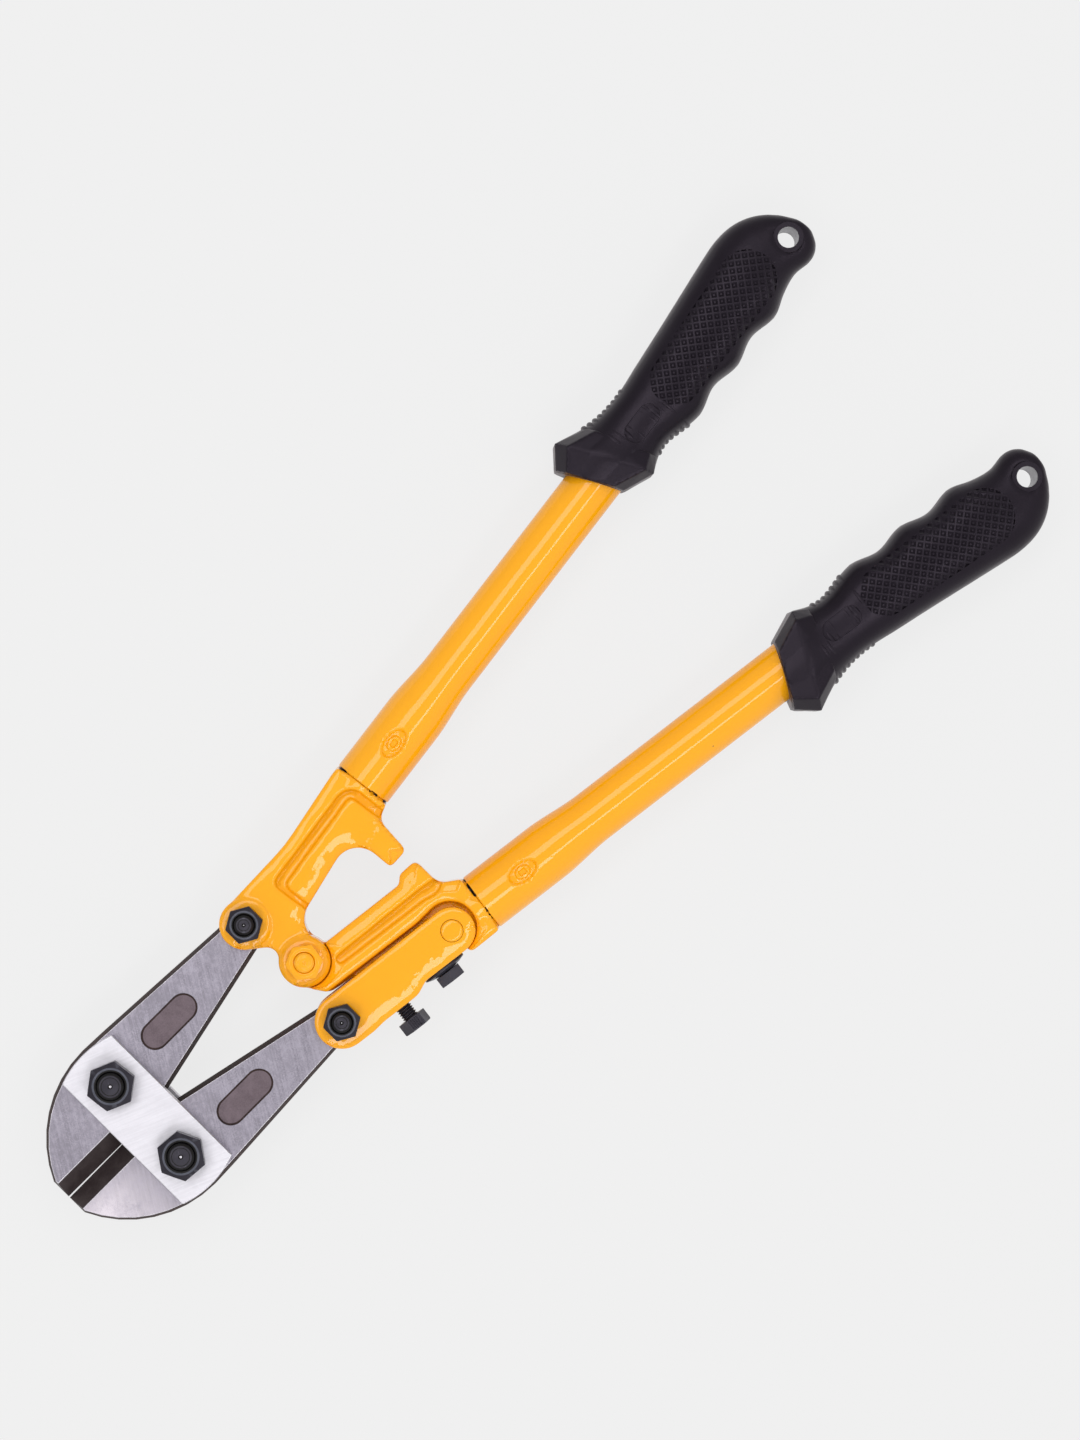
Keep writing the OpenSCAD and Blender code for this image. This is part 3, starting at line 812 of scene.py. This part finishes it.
def makePin(name, place, radius, low, high):
    return primitive(name, bpy.ops.mesh.primitive_cylinder_add, vertices=72, radius=radius, depth=high - low,
                     location=(*place, (high + low) / 2))


def markSeam(piece, place, reach):
    # 1 in the joint between a tube and its casting, where the paint is broken
    seam = piece.data.attributes.new("seam", "FLOAT", "POINT")
    for point in piece.data.vertices:
        seam.data[point.index].value = max(0, 1 - abs(point.co.y - place) / reach)


def treeOf(places):
    # finds the nearest of some places, as seen from above
    tree = KDTree(len(places))
    for index, place in enumerate(places):
        tree.insert(Vector((place.x, place.y, 0)), index)
    tree.balance()
    return tree


def rollEdges(piece, values, points, normals):
    # the rims of the upper and lower faces roll off softly, one side slopes more, and the faces are a little lumpy
    low, high = values["walls"]
    foot = low - 0.6

    def isWall(place, normal):
        inBore = any(math.hypot(place.x - x, place.y - y) < values["bores"] for x, y in boltPlaces)
        return low < abs(place.z) < high and abs(normal.z) < 0.4 and not inBore

    walls = treeOf([place for place, normal in zip(points, normals) if isWall(place, normal)])
    for point, place, normal in zip(piece.data.vertices, points, normals):
        if abs(place.z) < foot:
            continue
        # a wall sinks with the face above it, less and less towards its foot
        facing = smoothStep((abs(normal.z) - 0.35) / 0.4)
        facing = max(facing, min(1, (abs(place.z) - foot) / (values["top"] - foot)))
        nearest, index, distance = walls.find(Vector((place.x, place.y, 0)))
        drop = values["roll"] * max(0, 1 - distance / values["reach"]) ** 2
        atWall = max(0, 1 - distance / 0.3) / max(normal.xy.length, 0.3)
        outward = ((nearest.x - place.x) / max(distance, 0.3) + atWall * normal.x) * values["towards"]
        fade = max(0, 1 - distance / values["width"]) ** values["bend"]
        drop += values["slope"] * smoothStep(outward * 1.4 - 0.2) * fade
        for size, depth in values["lumps"]:
            drop += depth * (0.5 + 0.5 * mathutils.noise.noise(place / size))
        point.co.z -= math.copysign(drop * facing, place.z)


def markHollowShade(piece, values, points, normals):
    # painted shade: 1 deep in a sunken panel, and most beside the crest that shades it; the enamel paints it deeper and
    # duller
    crests = treeOf([place for place, normal in zip(points, normals)
                     if abs(place.z) > values["top"] - 0.5 and abs(normal.z) > 0.6])
    hollow = piece.data.attributes.new("hollow", "FLOAT", "POINT")
    for point, place in zip(piece.data.vertices, points):
        if abs(place.z) > values["floor"]:
            nearest, index, distance = crests.find(Vector((place.x, place.y, 0)))
            shade = smoothStep(0.35 + 1.2 * values["lee"] * (place.x - nearest.x) / max(distance, 0.2))
            depth = smoothStep((values["top"] - 0.25 - abs(place.z)) / 1.3)
            hollow.data[point.index].value = depth * (0.2 + 0.8 * shade)


def makeCasting(node, body, pieceName, side):
    # cast steel under thick paint: every edge is soft and no face is quite flat
    values = castingValues[pieceName]
    matrix = handlePlace(side)
    piece = copyOfNode(node, pieceName, matrix)
    # the link's rivet holes are filled for the remesh and cut again after it, so that their rims stay crisp
    if pieceName == "linkForging":
        near, far = linkPlates
        for low, high in ((near, far), (-far, -near)):
            cutWith(piece, makePin("plug", rivetPlace, linkPlug, low, high), "UNION")
    remeshed(piece, castingSkin, values["rounds"])
    points = [point.co.copy() for point in piece.data.vertices]
    normals = [point.normal.copy() for point in piece.data.vertices]
    rollEdges(piece, values, points, normals)
    markHollowShade(piece, values, points, normals)
    if pieceName == "linkForging":
        cutWith(piece, makePin("rivetBore", rivetPlace, linkBore, -12, 12))
    markSeam(piece, seamPlace, 0.8)
    return finished(piece, body, node, [paintOnCasting], matrix, 60, False)


makeCasting("left_handle_end", "left_handle", "leftCasting", -1)
makeCasting("right_handle_end", "right_handle", "rightCasting", 1)
makeCasting("adjusting_link", "adjusting_link", "linkForging", 1)
makeCasting("adjuster_rivet", "right_handle", "rivetHeads", 1)
print("castings poured")


tubeValues = {
    "axis": 18.5,
    "start": 52.6,
    "socketEnd": 77.0,
    "taperEnd": 95.0,
    "end": 248.0,
    "socket": 9.3,
    "radius": 8.1,
    "wall": 1.6,
    "lockPlace": 68.0,
    "lockDepth": 1.15,
    # half widths across and along of the pressed oval, the block left in it and the punch mark on the block
    "lockOval": (3.3, 5.2),
    "lockBlock": (2.2, 2.7),
    "lockPunch": (0.85, 1.1),
}


def makeTube(side):
    values = tubeValues
    name = sideName(side)
    start, socket, slim = values["start"], values["socket"], values["radius"]
    # places along the tube and the radius at each: close rings where the lock is pressed, then the taper
    stations = [(start, socket - 0.3), (start + 0.3, socket)]
    stations += [(start + 1 + 0.32 * step, socket) for step in range(72)]
    reach, steps = values["taperEnd"] - values["socketEnd"], 15
    for step in range(steps + 1):
        share = step / steps
        stations.append((values["socketEnd"] + reach * share, socket + (slim - socket) * smoothStep(share)))
    stations += [(values["taperEnd"] + 20, slim), (200.0, slim), (values["end"], slim)]
    piece = primitive(name + "HandleTube", bpy.ops.mesh.primitive_circle_add, vertices=168,
                      radius=stations[0][1], location=(0, 0, stations[0][0]))
    pickAll(piece)
    for (place, radius), (nextPlace, nextRadius) in zip(stations, stations[1:]):
        bpy.ops.mesh.extrude_region_move(TRANSFORM_OT_translate={"value": (0, 0, nextPlace - place)})
        bpy.ops.transform.resize(value=(nextRadius / radius, nextRadius / radius, 1), center_override=(0, 0, 0))
    bench(piece)
    faceOut(moved(piece, Matrix.Translation((values["axis"], 0, 0)) @ Matrix.Rotation(math.radians(-90), 4, "X")))

    # the crimp that locks the tube on its casting: an oval press, with a small punched block left standing in it
    def crimp(place):
        if place.z < 6:
            return 0
        across, along = (place.x - values["axis"]) * side, place.y - values["lockPlace"]
        oval, block = (math.hypot(across / wide, along / long)
                       for wide, long in (values["lockOval"], values["lockBlock"]))
        punch = max(abs(across) / values["lockPunch"][0], abs(along) / values["lockPunch"][1])
        floor = smoothStep((1.0 - oval) / 0.2) - 0.6 * smoothStep((1.0 - block) / 0.22)
        return floor + 0.5 * smoothStep((1.15 - punch) / 0.35)

    pressed(piece, values["lockDepth"], crimp)
    markSeam(piece, start, 0.45)
    applied(piece, "SOLIDIFY", thickness=values["wall"], offset=-1, use_even_offset=False)
    return finished(piece, name + "_handle", name + "_tube", [paintOnTube], handlePlace(side), 40, False)


for side in (1, -1):
    makeTube(side)
print("tubes drawn")


screwValues = {
    "radius": 2.5,
    "root": 1.95,
    "core": 2.0,
    "pitch": 0.8,
    "steps": 28,
    "flats": 8.0,
    # each screw's height along the handle, and where its head starts and ends across it
    "setScrew": {"height": 14.8, "head": (33.0, 36.8), "shank": (24.8, 33.2), "thread": (25.2, 32.6), "turn": -8},
    "lockBolt": {"height": 31.8, "head": (28.69, 31.89), "shank": (16.19, 28.89), "thread": (16.69, 28.49), "turn": 30},
}
alongX = (0, math.radians(90), 0)


def makeThread(name, start, end, height):
    # a helical thread along X from start to end, closed by what it runs into
    root, radius, pitch = screwValues["root"], screwValues["radius"], screwValues["pitch"]
    turns = math.ceil((end - start) / pitch)
    piece = primitive(name, bpy.ops.mesh.primitive_plane_add, size=1)
    # the plane's corners, in their own order, become the profile of one turn
    profile = ((0.0, root), (pitch * 0.42, radius), (pitch, root), (pitch * 0.58, radius))
    for point, (along, out) in zip(piece.data.vertices, profile):
        point.co = (along, out, 0)
    pickEdges(piece, lambda a, b: abs(a.y - b.y) < 0.01 and abs(a.y - root) < 0.01)
    bpy.ops.mesh.delete(type="EDGE")
    bench(piece)
    applied(piece, "SCREW", axis="X", screw_offset=pitch, iterations=turns, steps=screwValues["steps"],
            use_merge_vertices=False)
    pickAll(piece)
    bpy.ops.mesh.remove_doubles(threshold=0.01)
    bench(piece)
    return faceOut(moved(piece, Matrix.Translation((start, height, 0))))


def makeHead(name, start, end, height, turn):
    # hexagon head along X with a dished crown, turned in degrees about its own line from one flat facing up
    corner = screwValues["flats"] / math.sqrt(3)
    middle = ((start + end) / 2, height, 0)
    piece = primitive(name, bpy.ops.mesh.primitive_cylinder_add, vertices=6, radius=corner, depth=end - start,
                      location=middle, rotation=alongX)
    onLine = Matrix.Translation((0, height, 0))
    moved(piece, onLine @ Matrix.Rotation(math.radians(turn), 4, "X") @ onLine.inverted())
    crown = primitive("crown", bpy.ops.mesh.primitive_cone_add, vertices=64, radius1=corner + 3.0,
                      radius2=corner - 0.25, depth=end - start + 0.02, location=middle, rotation=alongX)
    cutWith(piece, crown, "INTERSECT")
    pickFaces(piece, lambda centre, normal: normal.x > 0.99)
    stepIn((end, height, 0), 0.76)
    stepIn((end, height, 0), 0.84, (-0.3, 0, 0))
    return bevelled(bench(piece), 0.14, 25)


def makeShank(name, start, end, height):
    piece = primitive(name, bpy.ops.mesh.primitive_cylinder_add, vertices=48, radius=screwValues["core"],
                      depth=end - start, location=((start + end) / 2, height, 0), rotation=alongX)
    return bevelled(piece, 0.3, 40)


def makeScrew(kind):
    values = screwValues[kind]
    core = makeShank("core", *values["shank"], values["height"])
    thread = makeThread("thread", *values["thread"], values["height"])
    return makeHead("head", *values["head"], values["height"], values["turn"]), core, thread


def makeSetScrew():
    head, core, thread = makeScrew("setScrew")
    height, (start, end) = screwValues["setScrew"]["height"], screwValues["setScrew"]["head"]
    # a few file marks across the flat that faces up, which slopes with the head's turn
    for step in range(5):
        across = -1.3 + 0.68 * step
        mark = makePin("mark", (0, 0), 0.16, start + 0.35, end - 0.45)
        onFlat = Matrix.Translation((0, height + across, 4.02 - 0.14 * across))
        cutWith(head, moved(mark, onFlat @ Matrix.Rotation(math.radians(90), 4, "Y")))
    piece = joined([head, core, thread], "setScrewHex")
    return finished(piece, "set_screw", "set_screw", [oxide], handlePlace(1), 30)


def makeLockBolt():
    piece = joined(makeScrew("lockBolt"), "lockBoltHex")
    return finished(piece, "lock_bolt", "lock_bolt", [oxide], handlePlace(1), 30)


def makeWasher():
    piece = flattened(copyOfNode("lock_washer", "lockWasherDish", handlePlace(1)), 0.4)
    bevelled(piece, 0.15, 30)
    return finished(piece, "lock_bolt", "lock_washer", [oxide], handlePlace(1), 40)


makeSetScrew()
makeLockBolt()
makeWasher()
print("adjuster screws cut")


gripValues = {
    "skin": 0.62,
    "tagEnds": ((17.8, 186.0, 3.4), (17.8, 192.6, 3.4)),
    "tagDepth": 0.42,
    "panelEnds": ((17.9, 205.9, 7.8), (19.0, 243.2, 9.0)),
    "knurlPitch": 2.15,
    "knurlWidth": 1.72,
    "knurlDepth": 0.48,
    "knurlStart": (7.4, 195.0),
    "knurlCounts": (8, 20),
    # the side that ribs stand out on, and where their run starts and ends
    "ribRuns": ((1, 178.2, 195.0), (-1, 186.5, 199.5)),
    "ribPitch": 1.95,
    "ribRadius": 0.85,
    "ribBow": 0.92,
    "ribStand": 0.5,
    "holeAt": (17.0, 261.0),
    "holeRadius": 3.2,
    "lipRadius": 4.6,
    "lipHeights": (6.93, 7.3),
    "boreStart": 120,
}
# half of the collar's outline at its front, ridge and back, as places across and up, with where the ring stands
# along the handle and how it leans
collarValues = {
    "front": {"ring": ((9.9, 6.3), (13.2, 10.9), (26.6, 10.9), (29.8, 6.3)), "at": 166.8, "lean": -0.39},
    "ridge": {"ring": ((5.8, 8.0), (8.6, 12.6), (31.4, 12.6), (35.0, 7.6)), "at": 174.9, "lean": -0.38},
    "back": {"ring": ((8.2, 6.0), (10.6, 10.2), (27.4, 10.2), (30.0, 6.0)), "at": 181.6, "lean": -0.27},
}


def tablet(name, ends, low, high):
    # a flat pill between heights, round at two [x, y, radius] ends
    discs = [primitive("disc", bpy.ops.mesh.primitive_cylinder_add, vertices=64, radius=radius, depth=high - low,
                       location=(x, y, (high + low) / 2)) for x, y, radius in ends]
    piece = joined(discs, name)
    pickAll(piece)
    bpy.ops.mesh.convex_hull()
    return bench(piece)


def draped(piece, target, up, lift):
    # drops a tool onto the grip from one side, then lifts each point by what a rule says for its own height
    heights = [point.co.z * up for point in piece.data.vertices]
    for point in piece.data.vertices:
        point.co.z = 20 * up
    applied(piece, "SHRINKWRAP", target=target, wrap_method="PROJECT", use_project_z=True,
            use_positive_direction=up < 0, use_negative_direction=up > 0)
    for point, height in zip(piece.data.vertices, heights):
        point.co.z += up * lift(height)
    return piece


def makeKnurlTool(target, up):
    # four-sided points in a square lattice turned by 45 degrees, trimmed to the panel and draped on the grip
    values = gripValues
    step = values["knurlPitch"] * math.sqrt(2)
    piece = primitive("knurlTool", bpy.ops.mesh.primitive_cone_add, vertices=4, radius1=0.42,
                      radius2=values["knurlWidth"] / math.sqrt(2) * 1.2, depth=1,
                      location=(*values["knurlStart"], 0), rotation=(math.pi if up < 0 else 0, 0, 0))
    columns, rows = values["knurlCounts"]
    for offset, count in (((step / 2, step / 2, 0), 2), ((step, 0, 0), columns), ((0, step, 0), rows)):
        applied(piece, "ARRAY", use_relative_offset=False, use_constant_offset=True,
                constant_offset_displace=offset, count=count)
    cutWith(piece, tablet("panel", values["panelEnds"], -3, 3), "INTERSECT")
    # -0.5 is the tip of a point and 0.5 its rim, which stands a little clear of the grip
    return draped(piece, target, up, lambda height: values["knurlDepth"] * (1.35 * (height + 0.5) - 1))


def makeTagTool(target, up):
    # a pill draped on the neck, for a plain sunk tag
    values = gripValues
    piece = remeshed(tablet("tagTool", values["tagEnds"], -0.5, 0.5), 0.3, 1)
    return draped(piece, target, up, lambda height: height + 0.5 - values["tagDepth"])


def makeCollar():
    # flared collar with flat facets, as the convex skin of its front, its ridge and its back
    places = []
    for values in collarValues.values():
        for x, z in values["ring"]:
            for sign in (1, -1):
                places.append((x, values["at"] + values["lean"] * (x - tubeValues["axis"]), z * sign))
    piece = primitive("collar", bpy.ops.mesh.primitive_cylinder_add, vertices=len(places) // 2, radius=10, depth=10)
    for point, place in zip(piece.data.vertices, places):
        point.co = place
    pickAll(piece)
    bpy.ops.mesh.convex_hull()
    return remeshed(bench(piece), 0.42, 3)


def makeRib(piece, y, outward):
    # a ring that shows only where it comes through the side of the neck
    values = gripValues
    near, far = edgeAt(piece, y, outward), edgeAt(piece, y, -outward)
    bow = values["ribBow"] * abs(near - far) / 2
    return primitive("rib", bpy.ops.mesh.primitive_torus_add, major_segments=48, minor_segments=12,
                     major_radius=bow - values["ribRadius"], minor_radius=values["ribRadius"],
                     location=(near + outward * (values["ribStand"] - bow), y, 0), rotation=(math.radians(90), 0, 0))


def edgeAt(piece, y, outward):
    # where the side of the grip stands at one place along it
    near = [point.co.x for point in piece.data.vertices if abs(point.co.y - y) < 0.8 and abs(point.co.z) < 2]
    return max(near) if outward > 0 else min(near)


def makeGrip():
    values = gripValues
    piece = copyOfNode("right_grip", "gripBody", handlePlace(1))
    remeshed(piece, values["skin"], 14)
    for up in (1, -1):
        cutWith(piece, makeTagTool(piece, up))
    ribSets = []
    for outward, first, last in values["ribRuns"]:
        count = int((last - first) / values["ribPitch"]) + 1
        ribs = [makeRib(piece, first + values["ribPitch"] * step, outward) for step in range(count)]
        ribSets.append(joined(ribs, "ribs"))
    for up in (1, -1):
        cutWith(piece, makeKnurlTool(piece, up))
    for ribs in ribSets:
        cutWith(piece, ribs, "UNION")
    cutWith(piece, makeCollar(), "UNION")
    # thin lips of rubber over the ends of the hanging eyelet
    near, far = values["lipHeights"]
    for low, high in ((near, far), (-far, -near)):
        cutWith(piece, makePin("lip", values["holeAt"], values["lipRadius"], low, high), "UNION")
    cutWith(piece, makePin("hole", values["holeAt"], values["holeRadius"], -20, 20))
    # the tube's end, with a little room
    depth = tubeValues["end"] + 0.2 - values["boreStart"]
    bore = primitive("bore", bpy.ops.mesh.primitive_cylinder_add, vertices=96, radius=tubeValues["radius"] + 0.06,
                     depth=depth, location=(tubeValues["axis"], values["boreStart"] + depth / 2, 0),
                     rotation=(math.radians(90), 0, 0))
    return cutWith(piece, bore)


grip = makeGrip()
leftGrip = copied(grip, "leftGripSleeve")
grip.name = "rightGripSleeve"
for piece, side in ((grip, 1), (leftGrip, -1)):
    name = sideName(side)
    finished(piece, name + "_handle", name + "_grip", [rubber], handlePlace(side), 16, False)
print("grips moulded")

for side in (1, -1):
    name = sideName(side)
    piece = flattened(copyOfNode(name + "_hang_eyelet", name + "Eyelet", handlePlace(side)), 0.4)
    bevelled(piece, 0.22, 40)
    finished(piece, name + "_handle", name + "_hang_eyelet", [eyeletWall], handlePlace(side), 40)
print("eyelets fitted")


stageValues = {
    "pale": 0.863,
    "floorShare": 0.09,  # how much of the floor that the camera sees is lit paper, which shows the shadow
    "floorGlow": 0.868,
    "overhead": 0.6,
    "around": 0.66,
    "lean": 0.15,
    "camera": {"place": (-0.0198, -0.0198, 1.257), "lens": 103.04, "tilt": (1.801, -0.861, -0.048)},
    # brightness is what a mirror would show, where the white tent is near 1
    "lamps": {
        "leftSoftbox": {"place": (-0.36, 0.0, 0.98), "size": (0.38, 1.5), "brightness": 2.5},
        "rightStrip": {"place": (0.42, 0.35, 0.98), "size": (0.12, 0.7), "brightness": 4.6},
        "rightSoftbox": {"place": (0.44, -0.36, 0.98), "size": (0.22, 0.7), "brightness": 4.5},
    },
}


def makeFloor():
    floor = primitive("studioFloor", bpy.ops.mesh.primitive_plane_add, size=6, location=(0, 0, -0.0002))
    material = bpy.data.materials.new("studioFloor")
    material.use_nodes = True
    tree = material.node_tree
    tree.nodes.clear()
    out = addNode(tree, "ShaderNodeOutputMaterial")
    path = addNode(tree, "ShaderNodeLightPath")
    seen = mathNode(tree, "MAXIMUM", path.outputs["Is Camera Ray"], path.outputs["Is Glossy Ray"])
    seen = mathNode(tree, "MAXIMUM", seen, path.outputs["Is Transmission Ray"])
    paper = addNode(tree, "ShaderNodeBsdfDiffuse")
    paper.inputs["Color"].default_value = (0.8, 0.8, 0.8, 1)
    glow = addNode(tree, "ShaderNodeEmission")
    glow.inputs["Color"].default_value = (1, 1, 1, 1)
    glow.inputs["Strength"].default_value = stageValues["floorGlow"]
    mixer = addNode(tree, "ShaderNodeMixShader")
    tree.links.new(mathNode(tree, "MULTIPLY", seen, 1 - stageValues["floorShare"]), mixer.inputs["Fac"])
    tree.links.new(paper.outputs["BSDF"], mixer.inputs[1])
    tree.links.new(glow.outputs["Emission"], mixer.inputs[2])
    tree.links.new(mixer.outputs["Shader"], out.inputs["Surface"])
    floor.data.materials.append(material)


def makeWorld():
    world = bpy.data.worlds.new("studioWorld")
    bpy.context.scene.world = world
    world.use_nodes = True
    tree = world.node_tree
    tree.nodes.clear()
    out = addNode(tree, "ShaderNodeOutputWorld")
    path = addNode(tree, "ShaderNodeLightPath")
    seen = mathNode(tree, "MAXIMUM", path.outputs["Is Camera Ray"], path.outputs["Is Transmission Ray"])
    room = addNode(tree, "ShaderNodeBackground")
    room.inputs["Color"].default_value = (1, 1, 1, 1)
    # a white tent with its opening for the camera overhead
    direction = addNode(tree, "ShaderNodeSeparateXYZ")
    tree.links.new(addNode(tree, "ShaderNodeTexCoord").outputs["Generated"], direction.inputs["Vector"])
    height = mathNode(tree, "POWER", mathNode(tree, "MAXIMUM", direction.outputs["Z"], 0.0), 4.0)
    lean = mathNode(tree, "MULTIPLY", direction.outputs["X"], stageValues["lean"])
    tent = ranged(tree, height, 0.0, 1.0, stageValues["around"], stageValues["overhead"])
    tree.links.new(mathNode(tree, "ADD", lean, tent), room.inputs["Strength"])
    backdrop = addNode(tree, "ShaderNodeBackground")
    backdrop.inputs["Color"].default_value = (*[stageValues["pale"]] * 3, 1)
    mixer = addNode(tree, "ShaderNodeMixShader")
    tree.links.new(seen, mixer.inputs["Fac"])
    tree.links.new(room.outputs["Background"], mixer.inputs[1])
    tree.links.new(backdrop.outputs["Background"], mixer.inputs[2])
    tree.links.new(mixer.outputs["Shader"], out.inputs["Surface"])


def addLamp(name, place, size, brightness):
    # a rectangle that faces the middle of the tool across X
    bpy.ops.object.light_add(type="AREA", location=place)
    lamp = bpy.context.object
    lamp.name = name
    lamp.data.shape = "RECTANGLE"
    lamp.data.size, lamp.data.size_y = size
    lamp.data.energy = brightness * math.pi * size[0] * size[1]
    lamp.rotation_euler = (0, math.atan2(place[0], place[2]), 0)


def makeCamera():
    # a long lens straight above the tool, which lies across the frame from lower left to upper right
    values = stageValues["camera"]
    camera = bpy.data.objects.new("camera", bpy.data.cameras.new("camera"))
    bpy.context.scene.collection.objects.link(camera)
    camera.data.lens = values["lens"]
    camera.data.sensor_width = 36
    camera.data.clip_start = 0.01
    tilt = Vector([math.radians(value) for value in values["tilt"]])
    aim = Matrix.Rotation(tilt.length, 4, tilt.normalized()) @ Matrix.Rotation(math.radians(45), 4, "Z")
    camera.matrix_world = Matrix.Translation(values["place"]) @ aim
    bpy.context.scene.camera = camera


makeFloor()
makeWorld()
for name, values in stageValues["lamps"].items():
    addLamp(name, **values)
makeCamera()
bpy.context.scene.view_settings.view_transform = "Standard"
print("stage lit")
